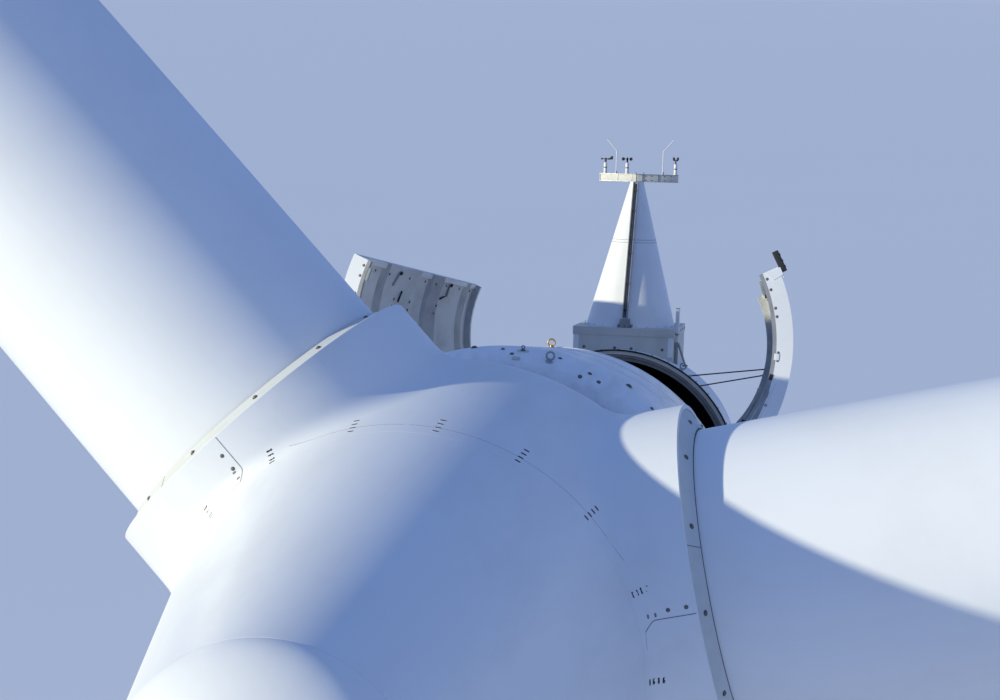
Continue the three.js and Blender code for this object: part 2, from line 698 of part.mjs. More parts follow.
function spinnerOutside(offset) {
  const rear = SPINNER_REAR_STATION + 200;
  return toSolid(turned([
    [0, NOSE_JOINT_STATION],
    ...contour(spinnerRadius, SPINNER_STATIONS, offset),
    [spinnerRadius(SPINNER_REAR_STATION) + offset, rear],
    [0, rear],
  ]));
}

function buildSpinnerShell() {
  const outer = contour(spinnerRadius, SPINNER_STATIONS);
  const inner = contour(spinnerRadius, [SPINNER_REAR_STATION, 0, -800, NOSE_JOINT_STATION], -SHELL_THICKNESS);
  const opening = bladeTube(COLLAR_RADIUS - COLLAR_WALL - 20, 200, COLLAR_RIM + 1000, COARSE_SEGMENTS);
  let shell = toSolid(closedTurned([...outer, ...inner]));
  for (const angle of Object.values(bladeAngles)) shell = shell.subtract(atBlade(opening, angle));
  addMesh(rotor, 'spinner_shell', shell, 'whiteShell');
}

// Each collar is a short round tube whose foot follows the spinner
function buildCollars() {
  const body = spinnerOutside(SEAT_GAP);
  for (const [name, angle] of Object.entries(bladeAngles)) {
    const tube = bladeTube(COLLAR_RADIUS, 1000, COLLAR_RIM)
      .subtract(bladeTube(COLLAR_RADIUS - COLLAR_WALL, 900, COLLAR_RIM + 100));
    addMesh(rotor, `blade_collar_${name}`, atBlade(tube, angle).subtract(body), 'whiteShell');
  }
}

// A bolted plate, coned outwards, closes each collar round its blade
function buildRootPlates() {
  const outer = COLLAR_RADIUS - COLLAR_WALL - SEAT_GAP;
  const inner = BLADE_ROOT_RADIUS + RUNNING_GAP;
  const plate = closedTurned([
    [outer, ROOT_PLATE_RIM - ROOT_PLATE_THICKNESS],
    [outer, ROOT_PLATE_RIM],
    [inner, ROOT_PLATE_RIM + ROOT_PLATE_RISE],
    [inner, ROOT_PLATE_RIM + ROOT_PLATE_RISE - ROOT_PLATE_THICKNESS],
  ]);
  const solid = toSolid(plate.rotateX(Math.PI / 2));
  for (const [name, angle] of Object.entries(bladeAngles)) {
    addMesh(rotor, `root_plate_${name}`, atBlade(solid, angle), 'rootPlate');
  }
}

// The hub's casting carries the blades' pins, and the nose on a disc ahead of it
function buildHub() {
  const centre = HUB_RADIUS * 0.4;
  const seat = bladeTube(BLADE_SEAT_RADIUS, centre, BLADE_INNER_STATION - RUNNING_GAP, COARSE_SEGMENTS);
  const pin = bladeTube(PITCH_PIN_RADIUS, HUB_RADIUS, BLADE_INNER_STATION + PITCH_PIN_LENGTH, PITCH_SEGMENTS);
  const mount = seat.add(pin);
  let hub = toSolid(new THREE.SphereGeometry(HUB_RADIUS, 20, 10).translate(0, BLADE_PLANE_STATION, 0));
  for (const angle of Object.values(bladeAngles)) hub = hub.add(atBlade(mount, angle));
  const front = NOSE_JOINT_STATION;
  const rear = front + NOSE_CARRIER_THICKNESS;
  const carrierRadius = spinnerRadius(front) - SHELL_THICKNESS - SEAT_GAP;
  const carrier = toSolid(rod([0, front, 0], [0, rear, 0], carrierRadius, RING_SEGMENTS));
  const bossEnd = BLADE_PLANE_STATION - HUB_RADIUS * 0.7;
  const boss = toSolid(rod([0, rear - 20, 0], [0, bossEnd, 0], NOSE_BOSS_RADIUS, COARSE_SEGMENTS));
  const bore = toSolid(rod(
    [0, AXLE_FRONT_STATION - 10, 0],
    [0, HUB_RADIUS + 200, 0],
    AXLE_RADIUS + HUB_BORE_CLEARANCE,
    AXLE_SEGMENTS,
  ));
  addMesh(rotor, 'hub_casting', hub.add(carrier).add(boss).subtract(bore), 'castSteel');
}

// Blades: a round root that slowly widens into an oval, cut flat at its outer end

const BLADE_SECTIONS = [
  { station: BLADE_INNER_STATION, along: BLADE_ROOT_RADIUS, thick: BLADE_ROOT_RADIUS },
  { station: 3700, along: BLADE_ROOT_RADIUS, thick: BLADE_ROOT_RADIUS },
  { station: 5600, along: 1680, thick: 1670 },
  { station: 7600, along: 1690, thick: 1650 },
  { station: BLADE_OUTER_STATION, along: 1710, thick: 1620 },
];

function bladeSolid() {
  const rows = BLADE_SECTIONS.map(({ station, along, thick }) => (
    Array.from({ length: RING_SEGMENTS }, (_, i) => {
      const angle = (2 * Math.PI * i) / RING_SEGMENTS;
      return [thick * Math.cos(angle), along * Math.sin(angle), station];
    })
  ));
  const vertices = rows.flat(2);
  const foot = vertices.length / 3;
  vertices.push(0, 0, BLADE_INNER_STATION, 0, 0, BLADE_OUTER_STATION);
  const faces = [];
  for (let i = 0; i < RING_SEGMENTS; i += 1) {
    const next = (i + 1) % RING_SEGMENTS;
    faces.push(foot, next, i);
    const last = (rows.length - 1) * RING_SEGMENTS;
    faces.push(foot + 1, last + i, last + next);
    for (let row = 0; row < rows.length - 1; row += 1) {
      const a = row * RING_SEGMENTS;
      const b = a + RING_SEGMENTS;
      faces.push(a + i, a + next, b + next, a + i, b + next, b + i);
    }
  }
  const geometry = new THREE.BufferGeometry();
  geometry.setAttribute('position', new THREE.Float32BufferAttribute(vertices, 3));
  geometry.setIndex(faces);
  const bore = bladeTube(
    PITCH_PIN_RADIUS + PITCH_PIN_CLEARANCE,
    BLADE_INNER_STATION - 50,
    BLADE_INNER_STATION + PITCH_PIN_LENGTH + RUNNING_GAP,
    PITCH_SEGMENTS,
  );
  return toSolid(geometry).subtract(bore);
}

function buildBlades() {
  const blade = bladeSolid();
  for (const [name, angle] of Object.entries(bladeAngles)) {
    addMesh(rotor, `blade_${name}`, atBlade(blade, angle), 'bladeGelcoat');
  }
}

// Roof hatches: drawn closed, then swung open about their hinge lines

const SIDES = { left: -1, right: 1 };
const openAngle = (side) => (side < 0 ? LEFT_HATCH_OPEN : RIGHT_HATCH_OPEN);

// The point at an angle from the top, on one side, at a distance from the straight hull cone
function hullPoint(side, angle, station, offset) {
  const share = (station - OPENING_FRONT_STATION) / (OPENING_REAR_STATION - OPENING_FRONT_STATION);
  const reach = OPENING_FRONT_RADIUS + (OPENING_REAR_RADIUS - OPENING_FRONT_RADIUS) * share + offset;
  const turn = radians(angle);
  return new THREE.Vector3(side * reach * Math.sin(turn), station, reach * Math.cos(turn));
}

function hingePoint(side, station) {
  return hullPoint(side, HATCH_ANGLE, station, HINGE_OFFSET);
}

function hingeLine(side) {
  return hingePoint(side, OPENING_REAR_STATION).sub(hingePoint(side, OPENING_FRONT_STATION)).normalize();
}

// The turn that swings a closed hatch open by an angle
function hatchTurn(side, open) {
  const front = hingePoint(side, OPENING_FRONT_STATION);
  const back = new THREE.Matrix4().makeTranslation(-front.x, -front.y, -front.z);
  return new THREE.Matrix4().makeTranslation(front)
    .multiply(new THREE.Matrix4().makeRotationAxis(hingeLine(side), side * radians(open)))
    .multiply(back);
}

const hatchFront = OPENING_FRONT_STATION + HATCH_GAP;
const hatchRear = OPENING_REAR_STATION - HATCH_REAR_GAP;
const RIB_SLOPE = 60;

// The hatch's inner contour steps in for its end frames and ribs
function hatchProfile() {
  const span = hatchRear - hatchFront;
  const inner = [];
  const step = (station, depth) => inner.push([nacelleRadius(station) - depth, station]);
  step(hatchFront, HATCH_FRAME_DEPTH);
  step(hatchFront + HATCH_FRAME_WIDTH, HATCH_FRAME_DEPTH);
  step(hatchFront + HATCH_FRAME_WIDTH + 1, HATCH_SKIN);
  for (let i = 1; i <= HATCH_RIB_COUNT; i += 1) {
    const middle = hatchFront + (span * (i - 0.25)) / (HATCH_RIB_COUNT + 0.5);
    step(middle - HATCH_RIB_WIDTH / 2, HATCH_SKIN);
    step(middle - HATCH_RIB_WIDTH / 2 + RIB_SLOPE, HATCH_RIB_DEPTH);
    step(middle + HATCH_RIB_WIDTH / 2 - RIB_SLOPE, HATCH_RIB_DEPTH);
    step(middle + HATCH_RIB_WIDTH / 2, HATCH_SKIN);
  }
  step(hatchRear - HATCH_FRAME_WIDTH - 1, HATCH_SKIN);
  step(hatchRear - HATCH_FRAME_WIDTH, HATCH_REAR_DEPTH);
  step(hatchRear, HATCH_REAR_DEPTH);
  const outer = contour(nacelleRadius, [hatchRear, hatchFront]);
  return [...inner, ...outer];
}

const KNUCKLE_STATIONS = [7300, 11000];
const KNUCKLE_LENGTH = 80;
const KNUCKLE_ARM_RADIUS = 24;
const POST_SPACING = 95;
const POST_RADIUS = 26;

// A round piece parallel to the hinge line, from one distance to another past a point
function alongHinge(side, centre, from, to, radius) {
  const line = hingeLine(side);
  const start = centre.clone().addScaledVector(line, from);
  const end = centre.clone().addScaledVector(line, to);
  return toSolid(rod(start.toArray(), end.toArray(), radius, SMALL_SEGMENTS));
}

// The hatch's lug reaches round the hinge pin
function hatchLug(side, station) {
  const half = KNUCKLE_LENGTH / 2;
  const centre = hingePoint(side, station);
  const foot = hullPoint(side, HATCH_ANGLE - 5, station, -12);
  const eye = alongHinge(side, centre, -half, half, HINGE_KNUCKLE_RADIUS);
  const arm = toSolid(rod(centre.toArray(), foot.toArray(), KNUCKLE_ARM_RADIUS, 8));
  const bore = alongHinge(side, centre, -2 * half, 2 * half, HINGE_PIN_RADIUS + HINGE_PIN_CLEARANCE);
  return eye.add(arm).subtract(bore);
}

// Struts: one gas strut behind each hatch's front frame
const STRUT_STATION = 6640;
const STRUT_HEAD_ANGLE = 42;
const STRUT_HEAD_DEPTH = 340;
const STRUT_FOOT_ACROSS = 2200;
const STRUT_FOOT_UP = 800;
const STRUT_EYE_RADIUS = 38;
const STRUT_EYE_LENGTH = 72;
const STRUT_PIN_RADIUS = 16;
const STRUT_PIN_CLEARANCE = 0.8;
const STRUT_TUBE_RADIUS = 34;
const STRUT_TUBE_BORE = 15.7;
const STRUT_ROD_RADIUS = 15;
const STRUT_TUBE_SHARE = 0.66;
const STRUT_BORE_START = 0.035;
const LUG_SIDE_GAP = 7;
const LUG_THICKNESS = 30;
const STRUT_ROD_START = 0.31;

const strutHeadClosed = (side) => hullPoint(side, STRUT_HEAD_ANGLE, STRUT_STATION, -STRUT_HEAD_DEPTH);
const strutHeadOpen = (side) => strutHeadClosed(side).applyMatrix4(hatchTurn(side, openAngle(side)));

// The strut's foot lies in the plane across the hinge line that holds its head
function strutFoot(side) {
  const line = hingeLine(side);
  const foot = new THREE.Vector3(side * STRUT_FOOT_ACROSS, STRUT_STATION, STRUT_FOOT_UP);
  const ahead = strutHeadOpen(side).sub(foot).dot(line);
  foot.y += ahead / line.y;
  return foot;
}

// The hatch's ear lies just ahead of the strut's head, on the end frame
function hatchEar(side) {
  const head = strutHeadClosed(side);
  const rear = -STRUT_EYE_LENGTH / 2 - LUG_SIDE_GAP;
  const ear = alongHinge(side, head, rear - LUG_THICKNESS, rear, STRUT_EYE_RADIUS);
  const wall = hullPoint(side, STRUT_HEAD_ANGLE, hatchFront + HATCH_FRAME_WIDTH - 5, -HATCH_FRAME_DEPTH + 30);
  const tip = head.clone().addScaledVector(hingeLine(side), rear - LUG_THICKNESS / 2);
  return ear.add(toSolid(rod(wall.toArray(), tip.toArray(), 20, 8)));
}

function hatchSolid(side) {
  const gapAngle = THREE.MathUtils.radToDeg(HATCH_GAP / OPENING_REAR_RADIUS);
  const range = [gapAngle / 2, HATCH_ANGLE - gapAngle];
  const sector = side > 0 ? range : [-range[1], -range[0]];
  let hatch = toSolid(closedTurned(hatchProfile()))
    .intersect(toSolid(wedge(...sector, hatchFront - 10, hatchRear + 10)));
  for (const station of KNUCKLE_STATIONS) hatch = hatch.add(hatchLug(side, station));
  return hatch.add(hatchEar(side));
}

function buildHatches() {
  for (const [name, side] of Object.entries(SIDES)) {
    const turn = hatchTurn(side, openAngle(side));
    const open = toSolid(toGeometry(hatchSolid(side)).applyMatrix4(turn));
    addMesh(tilted, `hatch_${name}`, open, 'innerGrey');
  }
}

// A hinge rail on the shell carries the pins on two pairs of posts
const RAIL_ANGLES = [HATCH_ANGLE + 1.6, HATCH_ANGLE + 4];

function buildHinges() {
  const ends = [KNUCKLE_STATIONS[0] - 160, KNUCKLE_STATIONS[1] + 160];
  const strip = toSolid(closedTurned([
    ...contour(nacelleRadius, ends, 24),
    ...contour(nacelleRadius, [...ends].reverse(), -30),
  ]));
  for (const [name, side] of Object.entries(SIDES)) {
    const sector = RAIL_ANGLES.map((angle) => side * angle).sort((a, b) => a - b);
    let rail = strip.intersect(toSolid(wedge(...sector, ends[0] - 10, ends[1] + 10)));
    for (const station of KNUCKLE_STATIONS) {
      const centre = hingePoint(side, station);
      rail = rail.add(alongHinge(side, centre, -HINGE_LENGTH / 2, HINGE_LENGTH / 2, HINGE_PIN_RADIUS));
      for (const shift of [-POST_SPACING, POST_SPACING]) {
        const top = centre.clone().addScaledVector(hingeLine(side), shift);
        const foot = hullPoint(side, HATCH_ANGLE + 2.8, station + shift, -20);
        rail = rail.add(toSolid(rod(top.toArray(), foot.toArray(), POST_RADIUS, 8)));
      }
    }
    addMesh(tilted, `hatch_hinge_${name}`, rail.subtract(hullTrim), 'galvanised');
  }
}

// The tube turns about a pin through its foot eye, and the rod slides in it
function buildStrut(name, side) {
  const foot = strutFoot(side);
  const head = strutHeadOpen(side);
  const at = (share) => foot.clone().lerp(head, share).toArray();
  const half = STRUT_EYE_LENGTH / 2;
  const tubeStart = (STRUT_EYE_RADIUS - 8) / head.distanceTo(foot);
  const boreEnd = STRUT_TUBE_SHARE + 0.05;
  const tube = toSolid(rod(at(tubeStart), at(STRUT_TUBE_SHARE), STRUT_TUBE_RADIUS, SMALL_SEGMENTS));
  const bore = toSolid(rod(at(tubeStart + STRUT_BORE_START), at(boreEnd), STRUT_TUBE_BORE, SMALL_SEGMENTS));
  const footEye = alongHinge(side, foot, -half, half, STRUT_EYE_RADIUS);
  const footBore = alongHinge(side, foot, -2 * half, 2 * half, STRUT_PIN_RADIUS + STRUT_PIN_CLEARANCE);
  const body = footEye.add(tube).subtract(bore).subtract(footBore);
  addMesh(tilted, `strut_tube_${name}`, body, 'sensorBlack');
  const headEye = alongHinge(side, head, -half, half, STRUT_EYE_RADIUS);
  const plunger = toSolid(rod(at(STRUT_ROD_START), at(1), STRUT_ROD_RADIUS, SMALL_SEGMENTS));
  addMesh(tilted, `strut_rod_${name}`, headEye.add(plunger), 'galvanised');
}

// The bracket's arm runs from the shell's inside to the plate that holds the foot pin
function buildStrutBracket(name, side, inside) {
  const foot = strutFoot(side);
  const half = STRUT_EYE_LENGTH / 2;
  const plateRear = -half - LUG_SIDE_GAP;
  const plateFront = plateRear - LUG_THICKNESS;
  const pin = alongHinge(side, foot, plateFront, half + 10, STRUT_PIN_RADIUS);
  const plate = alongHinge(side, foot, plateFront, plateRear, STRUT_EYE_RADIUS);
  const middle = foot.clone().addScaledVector(hingeLine(side), plateRear - LUG_THICKNESS / 2);
  const wall = hullPoint(side, HATCH_ANGLE + 4, middle.y, 50);
  const arm = toSolid(rod(middle.toArray(), wall.toArray(), LUG_THICKNESS / 2, SMALL_SEGMENTS));
  addMesh(tilted, `strut_bracket_${name}`, pin.add(plate).add(arm.intersect(inside)), 'castSteel');
}

function buildStruts() {
  const wall = SHELL_THICKNESS + SEAT_GAP;
  const inside = toSolid(turned([
    [0, OPENING_FRONT_STATION],
    [OPENING_FRONT_RADIUS - wall, OPENING_FRONT_STATION + SEAT_GAP],
    [OPENING_REAR_RADIUS - wall, OPENING_REAR_STATION],
    [0, OPENING_REAR_STATION],
  ]));
  for (const [name, side] of Object.entries(SIDES)) {
    buildStrut(name, side);
    buildStrutBracket(name, side, inside);
  }
}

buildTowerFlange();
buildYawCollar();
buildRing();
buildGenerator();
buildAxle();
buildSideShells();
buildRearFrame();
buildTail();
buildPlinth();
buildMastFairings();
buildMastRail();
buildCrossbar();
buildLightningRods();
buildWindVane();
buildAnemometer();
buildSecondSensor();
buildSidePost();
buildEyeRings();
buildSpinnerNose();
buildNoseCap();
buildSpinnerShell();
buildCollars();
buildRootPlates();
buildHub();
buildBlades();
buildHatches();
buildHinges();
buildStruts();

export default assembly;
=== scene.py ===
"""The looks of a wind turbine nacelle with its spinner, blade roots, roof hatches and weather mast."""

from math import cos, degrees, hypot, pi, radians, sin, sqrt, tan

import bmesh
import bpy
import numpy as np
from mathutils import Matrix, Vector


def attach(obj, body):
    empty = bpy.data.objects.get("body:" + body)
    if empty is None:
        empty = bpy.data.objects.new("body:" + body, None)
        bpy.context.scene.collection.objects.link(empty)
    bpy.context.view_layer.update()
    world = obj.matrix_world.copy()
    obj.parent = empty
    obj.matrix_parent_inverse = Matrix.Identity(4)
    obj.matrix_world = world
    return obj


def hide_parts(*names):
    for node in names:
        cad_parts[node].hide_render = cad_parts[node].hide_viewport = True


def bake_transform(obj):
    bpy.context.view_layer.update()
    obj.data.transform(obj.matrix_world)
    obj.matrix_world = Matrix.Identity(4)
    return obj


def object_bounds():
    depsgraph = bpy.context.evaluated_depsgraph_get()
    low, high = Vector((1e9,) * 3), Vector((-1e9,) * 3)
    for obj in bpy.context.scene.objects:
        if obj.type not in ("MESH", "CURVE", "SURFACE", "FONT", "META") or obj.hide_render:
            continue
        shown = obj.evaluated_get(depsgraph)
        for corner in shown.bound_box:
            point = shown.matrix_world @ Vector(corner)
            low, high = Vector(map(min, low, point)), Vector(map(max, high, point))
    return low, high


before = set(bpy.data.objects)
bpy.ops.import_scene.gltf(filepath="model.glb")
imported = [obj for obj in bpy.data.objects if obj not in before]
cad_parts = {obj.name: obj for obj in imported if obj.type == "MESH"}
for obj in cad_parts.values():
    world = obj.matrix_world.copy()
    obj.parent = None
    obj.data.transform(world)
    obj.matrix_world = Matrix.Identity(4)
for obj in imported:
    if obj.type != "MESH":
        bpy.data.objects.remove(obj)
CAD_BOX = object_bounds()

# Driving dimensions in metres and degrees. The rotor frame has its origin at the hub centre,
# Y rearward along the rotor axis and Z upward across it.
AXIS_TILT = 4.0
AXIS_HEIGHT = 3.5
TOWER_STATION = 4.3

NOSE_TIP = -7.5
CAP_JOINT = -6.8
NOSE_PLAIN_END = -3.4
NOSE_JOINT = -2.55
NOSE_SEAM = -2.36
JOINT_GAP = 0.002
SPINNER_FRONT_RADIUS = 3.14
SPINNER_FRONT_SLOPE = 0.26
SPINNER_REAR_RADIUS = 2.985
SPINNER_REAR_SLOPE = 0.2
CREST_ROUNDING = 0.06
SPINNER_REAR = 2.2
RING_FRONT = 2.24
RING_SHOULDER = 2.75
RING_LIP_RADIUS = 2.69
RING_SHOULDER_RADIUS = 2.89
RING_INNER_END = 5.4
RING_BAND_RISE = 0.012
OPENING_FRONT = 6.4
OPENING_FRONT_RADIUS = 2.565
OPENING_REAR = 12.03
OPENING_REAR_RADIUS = 2.075
REAR_FRAME_LENGTH = 0.16
TAIL_ROUND = 13.7
TAIL_END = 15.0
SHELL = 0.06
HATCH_ANGLE = 72.0
HATCH_OPEN = {"left": 67.0, "right": 64.0}
HINGE_OFFSET = 0.055
HATCH_EDGE_GAP = 0.012
HATCH_START = OPENING_FRONT + 0.012
HATCH_END = OPENING_REAR - 0.022
HATCH_SKIN = 0.035
HATCH_FRAME_DEPTH = 0.28
HATCH_REAR_DEPTH = 0.14
HATCH_WHITE_DEPTH = 0.228
HATCH_FRAME_WIDTH = 0.06
HATCH_RIB_DEPTH = 0.09
STAY_RADIUS = 0.011
STAY_STATION = 12.08

BLADE_PLANE = -0.45
BLADE_ANGLES = {"left": 43.5, "right": -76.5, "lower": 163.5}
COLLAR_RADIUS = 1.97
COLLAR_WALL = 0.045
COLLAR_RIM = 3.05
COLLAR_BLENDS = {"left": 0.16, "right": 0.2, "lower": 0.5}
RIM_TRIM = 0.012
SEAM_HEIGHT = 3.16
BLADE_RADIUS = 1.68
BLADE_INNER = 1.9
BLADE_OUTER = 9.6
STRIP_OUTER = COLLAR_RADIUS - COLLAR_WALL - 0.002
STRIP_INNER = BLADE_RADIUS + 0.02

PLINTH_HALF = 0.862
PLINTH_FRONT = 12.64
PLINTH_REAR = 14.24
PLINTH_TOP = 2.39
MAST_HEIGHT = 2.48
MAST_LEAN = 6.0
MAST_BASE_RADIUS = 0.77
MAST_TOP_RADIUS = 0.115
MAST_SKIN = 0.012
MAST_STATION = 13.48
RAIL_HALF = 0.0475
RAIL_DEPTH = 0.07
CROSSBAR_LOW = MAST_HEIGHT + 0.0003
CROSSBAR_TOP = CROSSBAR_LOW + 0.135
CROSSBAR_SWEEP = 22.0
CROSSBAR_REACH = 0.69
HOUSING_TOP = CROSSBAR_TOP + 0.1903
VANE_ACROSS = -0.594
CUPS_ACROSS = -0.186
SENSOR_ACROSS = 0.642
ROTOR_LIFT = 0.0055

FLANGE_TOP = 0.12
STUD_CIRCLE = 1.7
YAW_COLLAR_RADIUS = 1.62
YAW_BOLTS = 60

X, Y, Z = Vector((1.0, 0.0, 0.0)), Vector((0.0, 1.0, 0.0)), Vector((0.0, 0.0, 1.0))
LEVEL = (X, Y, Z)
HUB = Vector((
    0.0,
    -TOWER_STATION * cos(radians(AXIS_TILT)),
    AXIS_HEIGHT + TOWER_STATION * sin(radians(AXIS_TILT)),
))
ROTOR = Matrix.Translation(HUB) @ Matrix.Rotation(-radians(AXIS_TILT), 4, "X")
MAST = ROTOR @ Matrix.Translation((0.0, MAST_STATION, PLINTH_TOP))
LEAN_SHIFT = MAST_HEIGHT * tan(radians(MAST_LEAN))
BLADE_CENTER = Vector((0.0, BLADE_PLANE, 0.0))
SIDES = {"left": -1, "right": 1}

# Camera: a long lens ahead of the nose, a little to the right and above
CAMERA_PLACE = (4.864, -21.931, 5.123)
CAMERA_YAW = 11.55
CAMERA_PITCH = -9.12
CAMERA_ROLL = 0.78
FOCAL_PIXELS = 2049.0
IMAGE_WIDTH = 1000.0
SENSOR = 36.0
FARTHEST_VIEW = 60000.0


def new_object(name, data):
    made = bpy.data.objects.new(name, data)
    bpy.context.collection.objects.link(made)
    return made


def make_camera():
    data = bpy.data.cameras.new("camera")
    data.sensor_fit = "HORIZONTAL"
    data.sensor_width = SENSOR
    data.lens = SENSOR * FOCAL_PIXELS / IMAGE_WIDTH
    data.clip_end = FARTHEST_VIEW
    camera = new_object("camera", data)
    turn = Matrix.Rotation(radians(CAMERA_YAW), 4, "Z")
    turn = turn @ Matrix.Rotation(radians(90.0 + CAMERA_PITCH), 4, "X")
    turn = turn @ Matrix.Rotation(radians(CAMERA_ROLL), 4, "Z")
    camera.matrix_world = Matrix.Translation(ROTOR @ Vector(CAMERA_PLACE)) @ turn
    bpy.context.scene.camera = camera


EVEN = (1.0, 1.0, 1.0)
# Slot, material, colour, the dirt's colour, amount and scale, the range of the gloss, the height and
# scale of the grain, and where they matter how the dirt is stretched and how metallic the finish is
FINISHES = {
    "shell": ("white_shell", "shell_gelcoat", (0.80, 0.82, 0.84), (0.55, 0.55, 0.54),
        0.35, 1.1, (0.32, 0.5), 0.12, 45.0, (0.9, 0.35, 0.9)),
    # Lighter white than the other shells: painted light standing for the bounce light on the ring
    "ring": ("white_shell", "ring_gelcoat", (0.86, 0.87, 0.89), (0.50, 0.50, 0.48),
        0.5, 2.2, (0.36, 0.56), 0.15, 60.0, (2.2, 0.5, 2.2)),
    "blade": ("blade_gelcoat", "blade_gelcoat", (0.83, 0.85, 0.87), (0.62, 0.62, 0.60),
        0.25, 0.7, (0.28, 0.42), 0.08, 40.0),
    "strip": ("root_plate", "root_cover", (0.62, 0.64, 0.63), (0.48, 0.49, 0.46),
        0.5, 3.0, (0.5, 0.7), 0.2, 90.0),
    "cream": ("galvanised", "cream_paint", (0.62, 0.62, 0.57), (0.40, 0.38, 0.32),
        0.6, 3.0, (0.5, 0.7), 0.2, 90.0),
    "liner": ("inner_grey", "collar_liner", (0.50, 0.53, 0.50), (0.30, 0.31, 0.28),
        0.5, 2.5, (0.5, 0.75), 0.3, 80.0),
    "hatch": ("inner_grey", "hatch_laminate", (0.72, 0.73, 0.72), (0.40, 0.40, 0.36),
        0.55, 2.6, (0.5, 0.75), 0.35, 120.0, (1.0, 0.5, 1.0)),
    # Darker grey: painted shade on the slopes of the hatch's ribs and the sides of its frame
    "rib": ("inner_grey", "hatch_rib", (0.46, 0.48, 0.49), (0.22, 0.22, 0.20),
        0.5, 3.4, (0.5, 0.8), 0.35, 120.0),
    # Near black: painted shade for the dark inside of the hull
    "dark": ("inner_grey", "hall_lining", (0.012, 0.013, 0.016), (0.035, 0.035, 0.037),
        0.5, 3.0, (0.75, 0.95), 0.4, 50.0),
    "coaming": ("inner_grey", "coaming_grey", (0.30, 0.31, 0.33), (0.16, 0.16, 0.15),
        0.6, 5.0, (0.45, 0.7), 0.2, 90.0),
    "steel": ("galvanised", "galvanised_steel", (0.42, 0.43, 0.45), (0.26, 0.24, 0.22),
        0.6, 9.0, (0.38, 0.62), 0.3, 160.0, EVEN, 0.75),
    "casting": ("cast_steel", "painted_casting", (0.30, 0.33, 0.35), (0.14, 0.14, 0.13),
        0.5, 4.0, (0.45, 0.7), 0.5, 70.0, EVEN, 0.2),
    "bolt": ("galvanised", "bolt_steel", (0.20, 0.19, 0.18), (0.16, 0.10, 0.06),
        0.7, 25.0, (0.4, 0.7), 0.3, 200.0, EVEN, 0.7),
    "black": ("sensor_black", "black_rubber", (0.014, 0.014, 0.016), (0.05, 0.05, 0.05),
        0.5, 8.0, (0.5, 0.75), 0.3, 150.0),
    "sensor": ("sensor_white", "sensor_white", (0.74, 0.74, 0.72), (0.45, 0.44, 0.40),
        0.4, 14.0, (0.3, 0.5), 0.1, 200.0),
    "brass": ("brass_ring", "tarnished_brass", (0.52, 0.36, 0.14), (0.16, 0.11, 0.06),
        0.7, 20.0, (0.3, 0.6), 0.3, 200.0, EVEN, 0.85),
    "seam": ("inner_grey", "seam_filler", (0.22, 0.23, 0.25), (0.10, 0.10, 0.10),
        0.6, 8.0, (0.6, 0.8), 0.2, 150.0),
    "soft_seam": ("white_shell", "soft_seam_filler", (0.50, 0.51, 0.53), (0.35, 0.35, 0.35),
        0.6, 8.0, (0.5, 0.8), 0.2, 150.0),
    "laminate": ("blade_gelcoat", "glass_laminate", (0.40, 0.42, 0.30), (0.26, 0.27, 0.18),
        0.6, 6.0, (0.45, 0.7), 0.4, 120.0),
    "core": ("blade_gelcoat", "sandwich_core", (0.58, 0.42, 0.24), (0.42, 0.28, 0.14),
        0.6, 5.0, (0.7, 0.9), 0.5, 90.0),
    "plinth": ("white_shell", "plinth_paint", (0.60, 0.60, 0.57), (0.42, 0.42, 0.38),
        0.5, 2.4, (0.4, 0.6), 0.2, 80.0, (1.0, 1.0, 0.4)),
    "floor": (None, "pale_floor", (0.95, 0.93, 0.90), (0.92, 0.91, 0.89),
        0.2, 0.05, (0.85, 0.95), 0.2, 3.0),
}


def make_material(name, color, dirt, amount, scale, gloss, relief, grain, stretch=EVEN, metal=0.0):
    """A coat of one colour under uneven dirt, a changing gloss and a fine grain."""
    material = bpy.data.materials.new(name)
    material.use_nodes = True
    tree = material.node_tree

    def node(kind, values):
        made = tree.nodes.new(kind)
        for key, value in values.items():
            made.inputs[key].default_value = value
        return made

    surface = tree.nodes["Principled BSDF"]
    surface.inputs["Base Color"].default_value = (*color, 1.0)
    surface.inputs["Metallic"].default_value = metal
    place = node("ShaderNodeTexCoord", {})
    mapping = node("ShaderNodeMapping", {"Scale": stretch})
    cloud = node("ShaderNodeTexNoise", {"Scale": scale, "Detail": 7.0, "Roughness": 0.62})
    mask = node("ShaderNodeMapRange", {"From Min": 0.45, "From Max": 0.8, "To Max": amount})
    tint = node("ShaderNodeMix", {})
    tint.data_type = "RGBA"
    tint.inputs["A"].default_value = (*color, 1.0)
    tint.inputs["B"].default_value = (*dirt, 1.0)
    gloss_values = {"From Min": 0.3, "From Max": 0.7, "To Min": gloss[0], "To Max": gloss[1]}
    polish = node("ShaderNodeMapRange", gloss_values)
    fine = node("ShaderNodeTexNoise", {"Scale": grain, "Detail": 3.0})
    bump = node("ShaderNodeBump", {"Strength": relief, "Distance": 0.002})
    for source, output, target, entry in (
        (place, "Object", mapping, "Vector"), (mapping, "Vector", cloud, "Vector"),
        (cloud, "Fac", mask, "Value"), (mask, "Result", tint, "Factor"),
        (tint, "Result", surface, "Base Color"), (cloud, "Fac", polish, "Value"),
        (polish, "Result", surface, "Roughness"), (place, "Object", fine, "Vector"),
        (fine, "Fac", bump, "Height"), (bump, "Normal", surface, "Normal"),
    ):
        tree.links.new(source.outputs[output], target.inputs[entry])
    return material


MAT = {key: make_material(*values[1:]) for key, values in FINISHES.items()}


# Mesh helpers. A shape is a list of points and a list of faces. Points are in the rotor frame.

